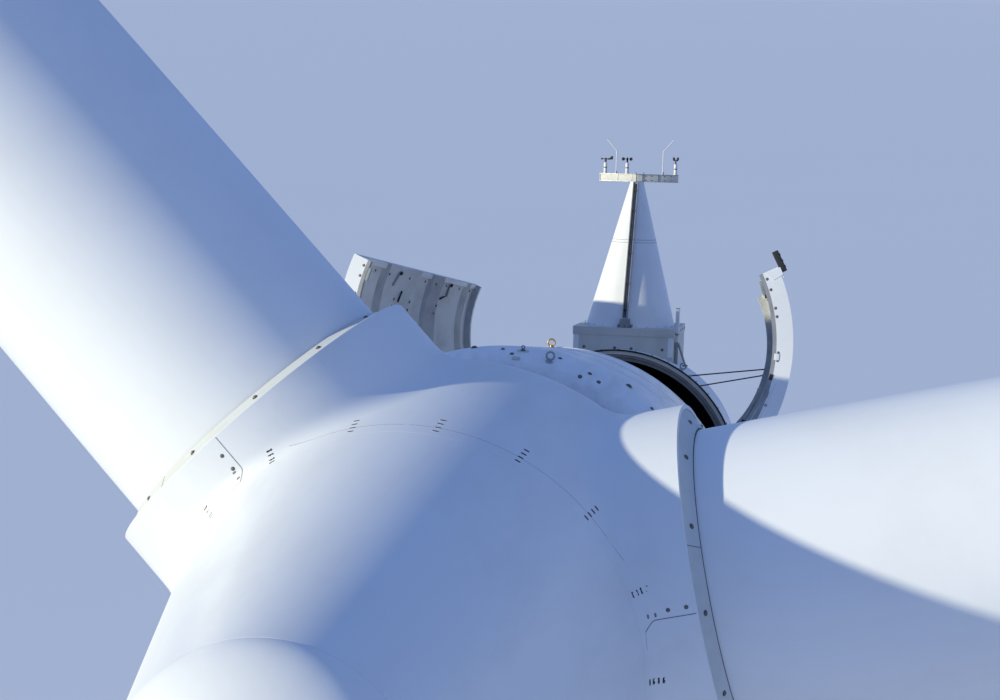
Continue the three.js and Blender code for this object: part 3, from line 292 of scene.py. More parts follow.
def add_piece(name, shape, finish, body, node=None, matrix=ROTOR, sharp=35.0):
    """A mesh piece on a body, in place of a node. finish is one name, or one for each face."""
    mesh = bpy.data.meshes.new(name)
    mesh.from_pydata([matrix @ Vector(p) for p in shape[0]], [], shape[1])
    single = isinstance(finish, str)
    keys = [finish] if single else list(dict.fromkeys(finish))
    for key in keys:
        mesh.materials.append(MAT[key])
    if not single:
        mesh.polygons.foreach_set("material_index", [keys.index(f) for f in finish])
    mesh.validate()
    build = bmesh.new()
    build.from_mesh(mesh)
    bmesh.ops.remove_doubles(build, verts=build.verts, dist=1e-5)
    bmesh.ops.dissolve_degenerate(build, edges=build.edges, dist=1e-6)
    bmesh.ops.recalc_face_normals(build, faces=build.faces)
    build.to_mesh(mesh)
    build.free()
    mesh.shade_smooth()
    mesh.set_sharp_from_angle(angle=radians(sharp))
    piece = new_object(name, mesh)
    if body:
        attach(piece, body)
    if node:
        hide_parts(node)
    return piece


class Parts:
    """Gathers many small shapes into one mesh."""

    def __init__(self):
        self.points = []
        self.faces = []
        self.finishes = []

    def add(self, shape, finish):
        start = len(self.points)
        self.points += [tuple(p) for p in shape[0]]
        self.faces += [tuple(start + i for i in face) for face in shape[1]]
        self.finishes += [finish] * len(shape[1])

    def bolt(self, at, normal, radius, height):
        """A domed bolt head on a washer."""
        profile = [
            (radius * 1.45, -0.004), (radius * 1.45, height * 0.2), (radius, height * 0.25),
            (radius * 0.96, height * 0.7), (radius * 0.7, height), (radius * 0.25, height * 1.08),
        ]
        self.add(turned(at, normal, profile, 12), "bolt")

    def piece(self, name, body, node=None, matrix=ROTOR):
        return add_piece(name, (self.points, self.faces), self.finishes, body, node, matrix)


def swing(first, second, angle):
    """A direction at an angle from the first towards the second."""
    a = radians(angle)
    return first * cos(a) + second * sin(a)


def radial(angle):
    """The direction away from the rotor axis, at an angle from the top towards +X."""
    return swing(Z, X, angle)


def tangent(angle):
    """The direction round the rotor axis at the same angle."""
    return swing(X, -Z, angle)


def ring_faces(rows, count, closed=True):
    """Quads between rows of count points each. closed joins each row's end to its start."""
    faces = []
    for row in range(rows - 1):
        for i in range(count if closed else count - 1):
            j = (i + 1) % count
            a, b = row * count, (row + 1) * count
            faces.append((a + i, a + j, b + j, b + i))
    return faces


def capped_faces(rows, count):
    """The quads of closed rows with a face over each end."""
    last = (rows - 1) * count
    return ring_faces(rows, count) + [tuple(range(count))[::-1], tuple(range(last, last + count))]


def banded(order, segments=192, ends=()):
    """A finish for each face of a turned shape, from one for each step of its profile."""
    return [finish for finish in order for _ in range(segments)] + list(ends)


def moved(profile, radius, station):
    return [(radius + r, station + y) for r, y in profile]


def lathe(profile, segments=192, start=0.0, end=360.0, closed=False):
    """Turns (radius, station) points about the rotor axis, from an angle at the top towards +X."""
    full = abs(end - start) > 359.9
    count = segments if full else segments + 1
    angles = [radians(start + (end - start) * i / segments) for i in range(count)]
    rows = list(profile) + ([profile[0]] if closed else [])
    points = [(r * sin(a), y, r * cos(a)) for r, y in rows for a in angles]
    faces = ring_faces(len(rows), count, full)
    if not full and closed:
        faces.append(tuple(k * count for k in range(len(profile))))
        faces.append(tuple(k * count + count - 1 for k in range(len(profile)))[::-1])
    return points, faces


def sector(side, start, end):
    """A range of angles on the right side, or its mirror image on the left."""
    return (start, end) if side > 0 else (-end, -start)


def circle(center, first, second, radius, count):
    return [center + swing(first, second, 360.0 * i / count) * radius for i in range(count)]


def basis(direction):
    """A direction and two directions across it."""
    along = Vector(direction).normalized()
    across = along.cross(Z if abs(along.z) < 0.9 else Y).normalized()
    return along, across, across.cross(along).normalized()


def turned(at, direction, profile, segments=16):
    """A solid of revolution about a direction, from (radius, height) points."""
    along, across, other = basis(direction)
    points = []
    for radius, height in profile:
        points += circle(Vector(at) + along * height, across, other, radius, segments)
    return points, capped_faces(len(profile), segments)


def rod(start, end, radius, segments=16):
    """A rod with small rounded ends."""
    span = Vector(end) - Vector(start)
    length = span.length
    edge = min(radius * 0.25, length * 0.2)
    profile = [(radius - edge, 0.0), (radius, edge), (radius, length - edge), (radius - edge, length)]
    return turned(start, span, profile, segments)


def tube_along(route, radius, segments=10):
    """A round bar along a list of points."""
    points = []
    across = basis(route[1] - route[0])[1]
    for i, p in enumerate(route):
        ahead = (route[min(i + 1, len(route) - 1)] - route[max(i - 1, 0)]).normalized()
        across = (across - ahead * across.dot(ahead)).normalized()
        points += circle(p, across, ahead.cross(across), radius, segments)
    return points, capped_faces(len(route), segments)


def torus(center, first, second, radius, bar, around=40, across=12):
    """A ring in the plane of two directions."""
    normal = first.cross(second)
    points = []
    for i in range(around):
        out = swing(first, second, 360.0 * i / around)
        points += circle(center + out * radius, out, normal, bar, across)
    return points, [tuple(k % len(points) for k in face) for face in ring_faces(around + 1, across)]


def prism(first, second):
    """A body between two outlines with the same number of points."""
    n = len(first)
    ends = [tuple(range(n)), tuple(range(n, 2 * n))[::-1]]
    return first + second, ends + [(i, n + i, n + (i + 1) % n, (i + 1) % n) for i in range(n)]


def taken_from(build):
    """The points and faces of a mesh under work, which ends there."""
    build.verts.index_update()
    shape = [v.co.copy() for v in build.verts], [tuple(v.index for v in f.verts) for f in build.faces]
    build.free()
    return shape


def block(center, size, axes=LEVEL, bevel=0.006):
    """A box with bevelled edges, about a centre, along three axes."""
    axes = [Vector(a).normalized() for a in axes]
    build = bmesh.new()
    bmesh.ops.create_cube(build, size=1.0)
    for v in build.verts:
        v.co = Vector((v.co.x * size[0], v.co.y * size[1], v.co.z * size[2]))
    width = min(bevel, min(size) * 0.225)
    bmesh.ops.bevel(build, geom=build.edges[:], offset=width, segments=2, profile=0.6, affect="EDGES")
    points, faces = taken_from(build)
    return [Vector(center) + axes[0] * p.x + axes[1] * p.y + axes[2] * p.z for p in points], faces


def ribbon(spots, width, lift=0.0015):
    """A thin flat strip laid on a surface along (point, normal) spots."""
    points = []
    route = [Vector(p) for p, _ in spots]
    for i, p in enumerate(route):
        normal = Vector(spots[i][1]).normalized()
        ahead = route[min(i + 1, len(route) - 1)] - route[max(i - 1, 0)]
        side = ahead.cross(normal).normalized() * (width / 2.0)
        for shift, height in ((-1.0, -0.004), (-0.8, lift), (0.8, lift), (1.0, -0.004)):
            points.append(p + side * shift + normal * height)
    return points, ring_faces(len(route), 4, False)


def stadium(center, along, across, normal, length, width, levels, segments=8):
    """A round-ended shape in levels of (shrink, height). Its last face is the top."""
    points = []
    for shrink, height in levels:
        r = width / 2.0 - shrink
        for end in (1, -1):
            for i in range(segments + 1):
                a = pi * (i / segments - 0.5)
                x = end * (length - width) / 2.0 + end * r * cos(a)
                points.append(center + along * x + across * (end * r * sin(a)) + normal * height)
    count = 2 * (segments + 1)
    top = tuple((len(levels) - 1) * count + i for i in range(count))
    return points, ring_faces(len(levels), count) + [top]


# The hull's shape

def nacelle_radius(y):
    if y < RING_SHOULDER:
        share = (RING_SHOULDER - y) / (RING_SHOULDER - RING_FRONT)
        drop = RING_SHOULDER_RADIUS - RING_LIP_RADIUS
        return RING_SHOULDER_RADIUS - drop * (1.0 - sqrt(max(0.0, 1.0 - share ** 2)))
    if y < OPENING_FRONT:
        share = (y - RING_SHOULDER) / (OPENING_FRONT - RING_SHOULDER)
        return RING_SHOULDER_RADIUS + (OPENING_FRONT_RADIUS - RING_SHOULDER_RADIUS) * share
    slope = (OPENING_REAR_RADIUS - OPENING_FRONT_RADIUS) / (OPENING_REAR - OPENING_FRONT)
    cone = OPENING_FRONT_RADIUS + slope * (min(y, TAIL_ROUND) - OPENING_FRONT)
    share = max(0.0, (y - TAIL_ROUND) / (TAIL_END - TAIL_ROUND))
    return cone * sqrt(max(0.0, 1.0 - share ** 2.2))


def profile_between(start, end, count, offset=0.0):
    return [(nacelle_radius(float(y)) + offset, float(y)) for y in np.linspace(start, end, count)]


def hull(angle, y, offset=0.0):
    """A point of the hull at an angle from the top towards +X, and the normal there."""
    slope = (nacelle_radius(y + 0.02) - nacelle_radius(y - 0.02)) / 0.04
    out = radial(angle)
    return out * (nacelle_radius(y) + offset) + Y * y, (out - Y * slope).normalized()


def blade_axes(name):
    """A blade's own axis and the two directions across it."""
    out, front = radial(-BLADE_ANGLES[name]), -Y
    return out, front, out.cross(front).normalized()


def blade_frame(name):
    """Places a shape that is turned about Y so that Y becomes the blade's axis."""
    out, front, side = blade_axes(name)
    turn = Matrix((side, out, front)).transposed().to_4x4()
    return ROTOR @ Matrix.Translation(BLADE_CENTER) @ turn


# Spinner skin: the cone behind the nose and the three collars in one smooth surface

SKIN_AROUND = 500
SKIN_ALONG = 160
SKIN_ANGLES = (40.0, 134.0)
SKIN_NEAREST = 0.2
SKIN_FARTHEST = 5.5
SKIN_HALVINGS = 32
SKIN_SQUASH = 0.97
COLLAR_FOOT = 0.3
PROFILE_RAYS = 700
NOSE_SEGMENTS = 256
SEAM_CLIMB = 0.05
SLOT_GROUPS = 18
SLOT_PHASE = 6.7
SLOT_START = -2.45
SLOT_PITCH = 0.098
STEEP_CLIMB = 0.1
STEEP_SHIFT = -0.04
STEEP_PITCH = 0.055
SLOTS_IN_GROUP = 4
SLOT_LENGTH = 0.066
SLOT_HEIGHT = 0.03
SPLITS = {
    "left": {"turn": 4.0, "hook": -1.0, "bolts": (2.85, 2.68)},
    "right": {"turn": -4.0, "hook": 1.0, "bolts": (2.95, 2.77)},
    "lower": {"turn": 4.0, "hook": -1.0, "bolts": (2.9, 2.73)},
}
SPLIT_SLOTS = (2.57, 2.64)
SPLIT_FOOT = 2.525
HOOK_START = 2.62
HOOK_TURN = 2.6


def spinner_radius(y):
    front = SPINNER_FRONT_RADIUS + SPINNER_FRONT_SLOPE * y
    rear = SPINNER_REAR_RADIUS - SPINNER_REAR_SLOPE * y
    return (front + rear) / 2.0 - np.hypot((front - rear) / 2.0, CREST_ROUNDING)


def skin_distance(points):
    """How far points lie outside the skin. Each collar blends into the cone with a fillet."""
    x, y, z = points.T
    value = (np.hypot(x, z) - spinner_radius(y)) * SKIN_SQUASH
    offsets = points - np.array(BLADE_CENTER)
    for name, reach in COLLAR_BLENDS.items():
        out = np.array(blade_axes(name)[0])
        along = offsets @ out
        across = np.linalg.norm(offsets - np.outer(along, out), axis=1)
        wall = np.where(along > COLLAR_FOOT, across - COLLAR_RADIUS, 9.0)
        blend = np.clip(reach - np.abs(value - wall), 0.0, None) / reach
        value = np.minimum(value, wall) - blend ** 2 * reach / 4.0
    return value


def skin_hits(origin, rays):
    """Where rays from a point inside leave the skin."""
    low, high = np.full(len(rays), SKIN_NEAREST), np.full(len(rays), SKIN_FARTHEST)
    for _ in range(SKIN_HALVINGS):
        middle = (low + high) / 2.0
        inside = skin_distance(origin + rays * middle[:, None]) < 0.0
        low, high = np.where(inside, middle, low), np.where(inside, high, middle)
    return origin + rays * low[:, None]


def skin_normal(point):
    step = 0.004
    p = np.array(point, dtype=float)
    probes = np.array([p + step * s * np.eye(3)[k] for k in range(3) for s in (1, -1)])
    value = skin_distance(probes)
    return Vector((value[0] - value[1], value[2] - value[3], value[4] - value[5])).normalized()


def rays_around(count):
    """Rays across the rotor axis, at even angles all the way round."""
    a = np.radians(np.arange(count) * 360.0 / count)
    return np.stack([np.sin(a), np.zeros(count), np.cos(a)], axis=-1)


def rays_from_hub(across, count):
    """Rays from the hub centre, one row for each tilt between the nose and the tail."""
    polar = np.radians(np.linspace(*SKIN_ANGLES, count))[:, None, None]
    return (np.sin(polar) * across - np.cos(polar) * np.array(Y)).reshape(-1, 3)


def skin_row(y, count, inset=0.0):
    """The skin's points at a station, moved inwards."""
    rays = rays_around(count)
    return skin_hits(np.array([0.0, y, 0.0]), rays) - rays * inset


def turn_edge_in(build, station, lead, shrink):
    """Rounds the open edge at a station and turns it inwards."""
    edges = [e for e in build.edges if e.is_boundary and all(abs(v.co.y - station) < 1e-4 for v in e.verts)]
    for share, ahead in ((shrink, lead), (0.97, 0.0)):
        made = bmesh.ops.extrude_edge_only(build, edges=edges)["geom"]
        for v in (g for g in made if isinstance(g, bmesh.types.BMVert)):
            v.co = Vector((v.co.x * share, v.co.y + ahead, v.co.z * share))
        edges = [g for g in made if isinstance(g, bmesh.types.BMEdge)]


def make_spinner_skin():
    build = bmesh.new()
    points = skin_hits(np.zeros(3), rays_from_hub(rays_around(SKIN_AROUND), SKIN_ALONG))
    verts = [build.verts.new(p) for p in points]
    for face in ring_faces(SKIN_ALONG, SKIN_AROUND):
        build.faces.new([verts[i] for i in face])
    joint = NOSE_JOINT + JOINT_GAP
    cuts = [(Y * SPINNER_REAR, Y), (Y * joint, -Y)]
    cuts += [(out * (COLLAR_RIM - RIM_TRIM), out) for out in (blade_axes(name)[0] for name in BLADE_ANGLES)]
    for place, normal in cuts:
        bmesh.ops.bisect_plane(
            build, geom=build.verts[:] + build.edges[:] + build.faces[:],
            plane_co=place, plane_no=normal, clear_outer=True, dist=1e-5)
    turn_edge_in(build, SPINNER_REAR, 0.004, 0.9985)
    turn_edge_in(build, joint, 0.0, 0.9998)
    add_piece("spinner_skin", taken_from(build), "shell", "rotor", "spinner_shell", sharp=50.0)


def make_nose():
    """The nose's cone, whose rear edge joins the collars' fillets, and its round cap."""
    front, rear = CAP_JOINT + JOINT_GAP, NOSE_JOINT
    stations = list(np.linspace(front + 0.003, NOSE_PLAIN_END, 8))
    stations += list(np.linspace(NOSE_PLAIN_END + 0.06, rear - 0.0006, 16))
    rows = [(front, SHELL), (front, 0.004)] + [(y, 0.0) for y in stations] + [(rear, 0.0006), (rear, SHELL)]
    points = np.concatenate([skin_row(y, NOSE_SEGMENTS, inset) for y, inset in rows])
    shape = points, ring_faces(len(rows), NOSE_SEGMENTS)
    add_piece("nose_skin", shape, "shell", "rotor", "spinner_nose")
    edge = float(spinner_radius(CAP_JOINT))
    profile = [(0.01, NOSE_TIP)]
    for a in (pi / 2.0 * i / 24 for i in range(1, 24)):
        profile.append((edge * sin(a), CAP_JOINT - (CAP_JOINT - NOSE_TIP) * cos(a)))
    profile += moved([(0.0, -0.003), (-0.004, 0.0), (-SHELL, 0.0)], edge, CAP_JOINT)
    points, faces = lathe(profile, NOSE_SEGMENTS)
    faces.append(tuple(range(NOSE_SEGMENTS)))
    add_piece("cap_skin", (points, faces), "shell", "rotor", "nose_cap")


def make_slots():
    """Round-ended air slots in rows of four, across the front joint of the spinner."""
    parts = Parts()
    rim = [(-0.002, -0.003), (-0.001, 0.0015), (0.0, 0.0015), (0.0005, 0.0006)]
    for group in range(SLOT_GROUPS):
        angle = SLOT_PHASE + 360.0 * group / SLOT_GROUPS
        points = skin_hits(np.zeros(3), rays_from_hub(np.array([radial(angle)]), PROFILE_RAYS))
        travel = np.append(0.0, np.cumsum(np.linalg.norm(np.diff(points, axis=0), axis=1)))
        first = np.argmax(points[:, 1] > SLOT_START)
        start, pitch = travel[first], SLOT_PITCH
        last = np.argmax(travel > start + (SLOTS_IN_GROUP - 1) * pitch)
        if hypot(*points[last, ::2]) - hypot(*points[first, ::2]) > STEEP_CLIMB:
            start, pitch = start + STEEP_SHIFT, STEEP_PITCH
        for k in range(SLOTS_IN_GROUP):
            center = Vector([float(np.interp(start + k * pitch, travel, points[:, i])) for i in range(3)])
            normal = skin_normal(center)
            across = normal.cross(tangent(angle)).normalized()
            shape, faces = stadium(
                center, across.cross(normal), across, normal, SLOT_LENGTH, SLOT_HEIGHT, rim)
            # The black top face is painted shade standing for the slot's dark opening.
            parts.add((shape, faces[:-1]), "shell")
            parts.add((shape, faces[-1:]), "black")
    parts.piece("air_slots", "rotor")


def make_nose_seam():
    """The thin joint line round the front of the spinner, between the collars."""
    parts = Parts()
    route = []
    limit = float(spinner_radius(NOSE_SEAM)) + SEAM_CLIMB
    for point in [*skin_row(NOSE_SEAM, 360), None]:
        if point is not None and hypot(point[0], point[2]) < limit:
            route.append((point, skin_normal(point)))
        elif len(route) > 1:
            parts.add(ribbon(route, 0.006, 0.0004), "seam")
            route = []
    parts.piece("nose_seam", "rotor")


def collar_point(name, turn, reach):
    """The skin's point at an angle round a blade's axis and a distance along it, and its normal."""
    out, front, side = blade_axes(name)
    ray = swing(front, side, turn)
    point = Vector(skin_hits(np.array(BLADE_CENTER + out * reach), np.array([ray]))[0])
    return point, skin_normal(point)


def make_collar_splits():
    """Each collar is split in front. The joint ends in a short hook, with its fixings beside it."""
    parts = Parts()
    levels = [(0.0, -0.003), (0.0, 0.0012), (0.002, 0.0015)]
    for name, split in SPLITS.items():
        turn, hook = split["turn"], split["hook"]
        line = [(turn, reach) for reach in np.linspace(COLLAR_RIM - 0.015, HOOK_START, 12)]
        for share in (i / 7 for i in range(1, 8)):
            reach = HOOK_START + (SPLIT_FOOT - HOOK_START) * share
            line.append((turn + hook * HOOK_TURN * share ** 1.3, reach))
        soft = [(turn + hook * (HOOK_TURN + 0.8 * i), SPLIT_FOOT - 0.003 * i) for i in range(7)]
        for route, width, finish in ((line, 0.011, "seam"), (soft, 0.007, "soft_seam")):
            parts.add(ribbon([collar_point(name, *place) for place in route], width), finish)
        for reach in split["bolts"]:
            parts.bolt(*collar_point(name, turn - 2.2, reach), 0.015, 0.01)
        # The dark grey ovals are painted shade standing for the slots' openings.
        for reach in SPLIT_SLOTS:
            at, normal = collar_point(name, turn - 2.0 + hook * 0.6, reach)
            along = normal.cross(blade_axes(name)[0].cross(normal)).normalized()
            parts.add(stadium(at, normal.cross(along), along, normal, 0.045, 0.022, levels), "seam")
    parts.piece("collar_splits", "rotor")


# Collar rims, the cover strips inside them and the blade roots

STRIP_TOP = SEAM_HEIGHT - 0.012
STRIP_BOLT_RADIUS = 1.8
STRIP_BOLT_COUNT = 13
STRIP_PHASES = {"left": -7.0, "right": -3.0, "lower": -7.0}
STRIP_JOINTS = (-24.0, 96.0, 216.0)
BLADE_SEGMENTS = 180
# Station, half width along the rotor axis and half width across it
BLADE_SECTIONS = np.array([
    (BLADE_INNER, BLADE_RADIUS, BLADE_RADIUS), (3.7, BLADE_RADIUS, BLADE_RADIUS),
    (5.6, 1.68, 1.67), (7.6, 1.69, 1.65), (BLADE_OUTER, 1.71, 1.62),
])
WEB_SHIFT = 0.42


def make_collar_rims():
    outer = [(-0.004, -0.03), (0.0004, -0.029), (0.0004, -0.006), (-0.005, 0.0)]
    inner = [(0.006, 0.0), (0.0, -0.008), (0.0, -0.5)]
    lip = moved(outer, COLLAR_RADIUS, COLLAR_RIM) + moved(inner, COLLAR_RADIUS - COLLAR_WALL, COLLAR_RIM)
    strip = moved([(0.0, -0.035), (0.0, -0.012), (-0.03, -0.004)], STRIP_OUTER, COLLAR_RIM)
    strip += moved([(0.02, -0.012), (0.0, -0.012), (0.0, -0.05)], STRIP_INNER, SEAM_HEIGHT)
    finishes = banded(["shell"] * 5 + ["liner"])
    for piece, profile, finish, node, sharp in (
        ("collar_lip", lip, finishes, "blade_collar", 30.0),
        ("root_strip", strip, "strip", "root_plate", 25.0),
    ):
        for name in BLADE_ANGLES:
            place = blade_frame(name)
            add_piece(f"{piece}_{name}", lathe(profile), finish, "rotor", f"{node}_{name}", place, sharp)


def strip_point(name, turn, radius):
    """A point of the cover strip's face at an angle round the blade, and the face's normal."""
    out, front, side = blade_axes(name)
    ray = swing(front, side, turn)
    width = (STRIP_OUTER - 0.03) - (STRIP_INNER + 0.02)
    foot = COLLAR_RIM - 0.004
    rise = STRIP_TOP - foot
    reach = foot + rise * (STRIP_OUTER - 0.03 - radius) / width
    return BLADE_CENTER + out * reach + ray * radius, (ray * rise + out * width).normalized()


def make_strip_fittings():
    """Bolts and radial joints of each cover strip, and the rubber seal against the blade."""
    seal = [(0.0015, -0.06), (0.0185, -0.06), (0.0185, -0.014), (0.0015, -0.008)]
    radii = np.linspace(STRIP_INNER + 0.022, STRIP_OUTER - 0.032, 6)
    for name in BLADE_ANGLES:
        parts = Parts()
        for i in range(STRIP_BOLT_COUNT):
            turn = STRIP_PHASES[name] + 360.0 * i / STRIP_BOLT_COUNT
            parts.bolt(*strip_point(name, turn, STRIP_BOLT_RADIUS), 0.021, 0.016)
        for turn in STRIP_JOINTS:
            parts.add(ribbon([strip_point(name, turn, r) for r in radii], 0.012), "seam")
        parts.piece(f"strip_fittings_{name}", "rotor")
        shape = lathe(moved(seal, BLADE_RADIUS, SEAM_HEIGHT), closed=True)
        add_piece(f"root_seal_{name}", shape, "black", "rotor", matrix=blade_frame(name))


def blade_section(station):
    return [float(np.interp(station, BLADE_SECTIONS[:, 0], BLADE_SECTIONS[:, k])) for k in (1, 2)]


def make_blades():
    """Blade roots with open cut ends, where a shallow hollow shows the laminate, the core and two webs."""
    stations = [BLADE_INNER, *np.linspace(2.6, BLADE_OUTER - 0.03, 40), BLADE_OUTER]
    rows = [(s, s, 0.985 if s in (BLADE_INNER, BLADE_OUTER) else 1.0) for s in stations]
    for shrink, depth in ((0.955, 0.0), (0.95, 0.012), (0.95, 0.35)):
        rows.append((BLADE_OUTER, BLADE_OUTER - depth, shrink))
    points = []
    for section, station, shrink in rows:
        along, thick = blade_section(section)
        points += circle(Y * station, Z * (along * shrink), X * (thick * shrink), 1.0, BLADE_SEGMENTS)
    shape = points, capped_faces(len(rows), BLADE_SEGMENTS)
    order = ["blade"] * (len(stations) - 1) + ["laminate"] * 3
    finishes = banded(order, BLADE_SEGMENTS, ["laminate", "core"])
    webs = Parts()
    for shift in (-WEB_SHIFT, WEB_SHIFT):
        reach = 2.0 * thick * 0.945 * sqrt(1.0 - (shift / along) ** 2)
        webs.add(block((0.0, BLADE_OUTER - 0.185, shift), (reach, 0.33, 0.07), bevel=0.008), "laminate")
    for name in BLADE_ANGLES:
        body = f"blade_{name}"
        place = blade_frame(name)
        add_piece(f"blade_skin_{name}", shape, finishes, body, body, place, 40.0)
        webs.piece(f"blade_webs_{name}", body, matrix=place)


# Nacelle shells and their fittings

RING_SEGMENTS = 256
SIDE_SEGMENTS = 96
RING_SEAMS = {4.0: "soft_seam", 5.25: "seam"}
RING_FITTING_GROUPS = 9
# Angle, station and radius
RING_BOLTS = [
    (-8.8, 2.66, 0.032), (-1.0, 2.51, 0.019), (1.8, 2.38, 0.019), (13.4, 2.5, 0.019),
    (20.1, 2.28, 0.019), (21.8, 2.39, 0.019), (24.8, 2.32, 0.019),
]
ANCHOR = (4.1, 2.49)
ANCHOR_PATCH = (3.2, 2.3)
EYE_RING_RADIUS = 0.048
EYE_RING_BAR = 0.012
EYE_RING_LIFT = 0.02
EYE_RINGS = {
    "front": (-2.4, 6.25, "brass"), "front_low": (11.4, 2.35, "steel"),
    "rear": (31.0, OPENING_REAR + 0.1, "steel"),
}
SIDE_SEAMS = (8.3, 10.2)
TAIL_SEAM = 13.68
# Station and angles
SHELL_BOLTS = [(6.5, range(80, 281, 8)), (11.93, range(80, 281, 8)), (12.13, range(0, 360, 8))]
KEEL_BOLT_ANGLES = (178.8, 181.2)
VENT_STARTS = (140.0, 205.0)
VENT_SWEEP = 15.0
VENT_FRONT = 12.75
VENT_PITCH = 0.07
VENT_ROWS = 7


def seam_band(y):
    """A thin closed band round the rotor axis, just proud of the hull."""
    profile = [(-0.003, -0.0045), (0.0014, -0.00315), (0.0014, 0.00315), (-0.003, 0.0045)]
    return lathe(moved(profile, nacelle_radius(y), y), closed=True)


def make_ring():
    profile = [(RING_LIP_RADIUS - 0.12, RING_FRONT), (RING_LIP_RADIUS - 0.01, RING_FRONT)]
    profile += profile_between(RING_FRONT + 0.012, RING_SHOULDER, 16)
    profile += profile_between(RING_SHOULDER + 0.1, OPENING_FRONT - 0.095, 20)
    profile += profile_between(OPENING_FRONT - 0.08, OPENING_FRONT - 0.01, 4, RING_BAND_RISE)
    profile += [(OPENING_FRONT_RADIUS + 0.004, OPENING_FRONT), (OPENING_FRONT_RADIUS - SHELL, OPENING_FRONT)]
    profile += [(nacelle_radius(RING_INNER_END) - SHELL, RING_INNER_END)]
    # The inner face's near black is painted shade for the dark inside of the hull.
    finishes = banded(["ring"] * (len(profile) - 2) + ["dark"], RING_SEGMENTS)
    # The ring's lighter white is painted bounce light.
    shape = lathe(profile, RING_SEGMENTS)
    add_piece("ring_skin", shape, finishes, "nacelle", "generator_ring_casing", sharp=40.0)


def make_ring_fittings():
    parts = Parts()
    for y, finish in RING_SEAMS.items():
        parts.add(seam_band(y), finish)
    for start in (360.0 * group / RING_FITTING_GROUPS for group in range(RING_FITTING_GROUPS)):
        for angle, y, radius in RING_BOLTS:
            parts.bolt(*hull(start + angle, y), radius, radius * 0.7)
        for angle, y, size in ((*ANCHOR, (0.15, 0.085)), (*ANCHOR_PATCH, (0.11, 0.06))):
            at, normal = hull(start + angle, y)
            along = Y.cross(normal).normalized()
            levels = [(0.0, -0.006), (0.0, 0.006), (0.004, 0.009)]
            parts.add(stadium(at, along, normal.cross(along), normal, *size, levels, 12), "cream")
        at, normal = hull(start + ANCHOR[0], ANCHOR[1], 0.008)
        parts.add(turned(at, normal, [(0.03, 0.0), (0.03, 0.008), (0.018, 0.014), (0.012, 0.026)]), "bolt")
        along = Y.cross(normal).normalized()
        parts.add(torus(at + normal * 0.042, along, normal, 0.02, 0.006, 24, 8), "bolt")
    parts.piece("ring_fittings", "nacelle")


def make_eye_rings():
    """Swivelling rope rings, each on a nut and a round foot."""
    foot = [(0.045, -0.012), (0.045, 0.004), (0.04, 0.008), (0.024, 0.009), (0.022, 0.03), (0.013, 0.036)]
    for name, (angle, y, finish) in EYE_RINGS.items():
        parts = Parts()
        up = radial(angle)
        at = hull(angle, y)[0]
        center = at + up * (EYE_RING_RADIUS + EYE_RING_LIFT)
        parts.add(turned(at, up, foot, 24), finish)
        parts.add(torus(center, tangent(angle), up, EYE_RING_RADIUS, EYE_RING_BAR), finish)
        parts.piece(f"eye_{name}", "nacelle", f"eye_ring_{name}")


def make_side_shells():
    front = OPENING_FRONT + 0.004
    profile = profile_between(front, OPENING_REAR, 12) + profile_between(OPENING_REAR, front, 4, -SHELL)
    # The inner faces' near black is painted shade for the dark inside of the hull.
    finishes = banded(["shell"] * 12 + ["dark"] * 4, SIDE_SEGMENTS, ["liner"] * 2)
    for name, side in SIDES.items():
        shape = lathe(profile, SIDE_SEGMENTS, *sector(side, HATCH_ANGLE, 179.95), closed=True)
        add_piece(f"side_skin_{name}", shape, finishes, "nacelle", f"side_shell_{name}", sharp=40.0)


def make_rear_frame():
    y = OPENING_REAR
    r = OPENING_REAR_RADIUS
    # Depth under the hull, distance behind the opening and the finish of the face that follows
    steps = [
        (r - nacelle_radius(y + 0.155), 0.155, "shell"), (0.004, 0.012, "black"), (0.010, 0.003, "black"),
        (0.03, 0.003, "hatch"), (0.032, 0.02, "hatch"), (0.088, 0.022, "coaming"), (0.09, 0.045, "coaming"),
        (0.14, 0.047, "black"), (0.148, 0.06, "coaming"), (0.196, 0.072, "coaming"), (0.2, 0.08, "dark"),
        (0.2, 0.155, "dark"),
    ]
    # The near-black faces at the back of the frame are painted shade for the dark inside of the hull.
    shape = lathe([(r - depth, y + behind) for depth, behind, _ in steps], closed=True)
    finishes = banded([finish for _, _, finish in steps])
    add_piece("rear_frame_skin", shape, finishes, "nacelle", "rear_frame", sharp=25.0)


def make_tail():
    outer = profile_between(OPENING_REAR + REAR_FRAME_LENGTH, TAIL_ROUND, 6)
    for share in np.sin(np.linspace(0.05, 0.999, 22) * pi / 2.0):
        outer += profile_between(TAIL_ROUND + share * (TAIL_END - TAIL_ROUND), 0.0, 1)
    inner_end = TAIL_END - 2.5 * SHELL
    inner = [(max(r - SHELL, 0.01), min(y, inner_end)) for r, y in reversed(outer[:-1])]
    profile = outer + [(0.01, TAIL_END), (0.01, inner_end)] + inner
    # The inner face's near black is painted shade for the dark inside of the tail.
    finishes = banded(["shell"] * len(outer) + ["dark"] * (len(profile) - len(outer)))
    add_piece("tail_skin", lathe(profile, closed=True), finishes, "nacelle", "tail_shell", sharp=40.0)


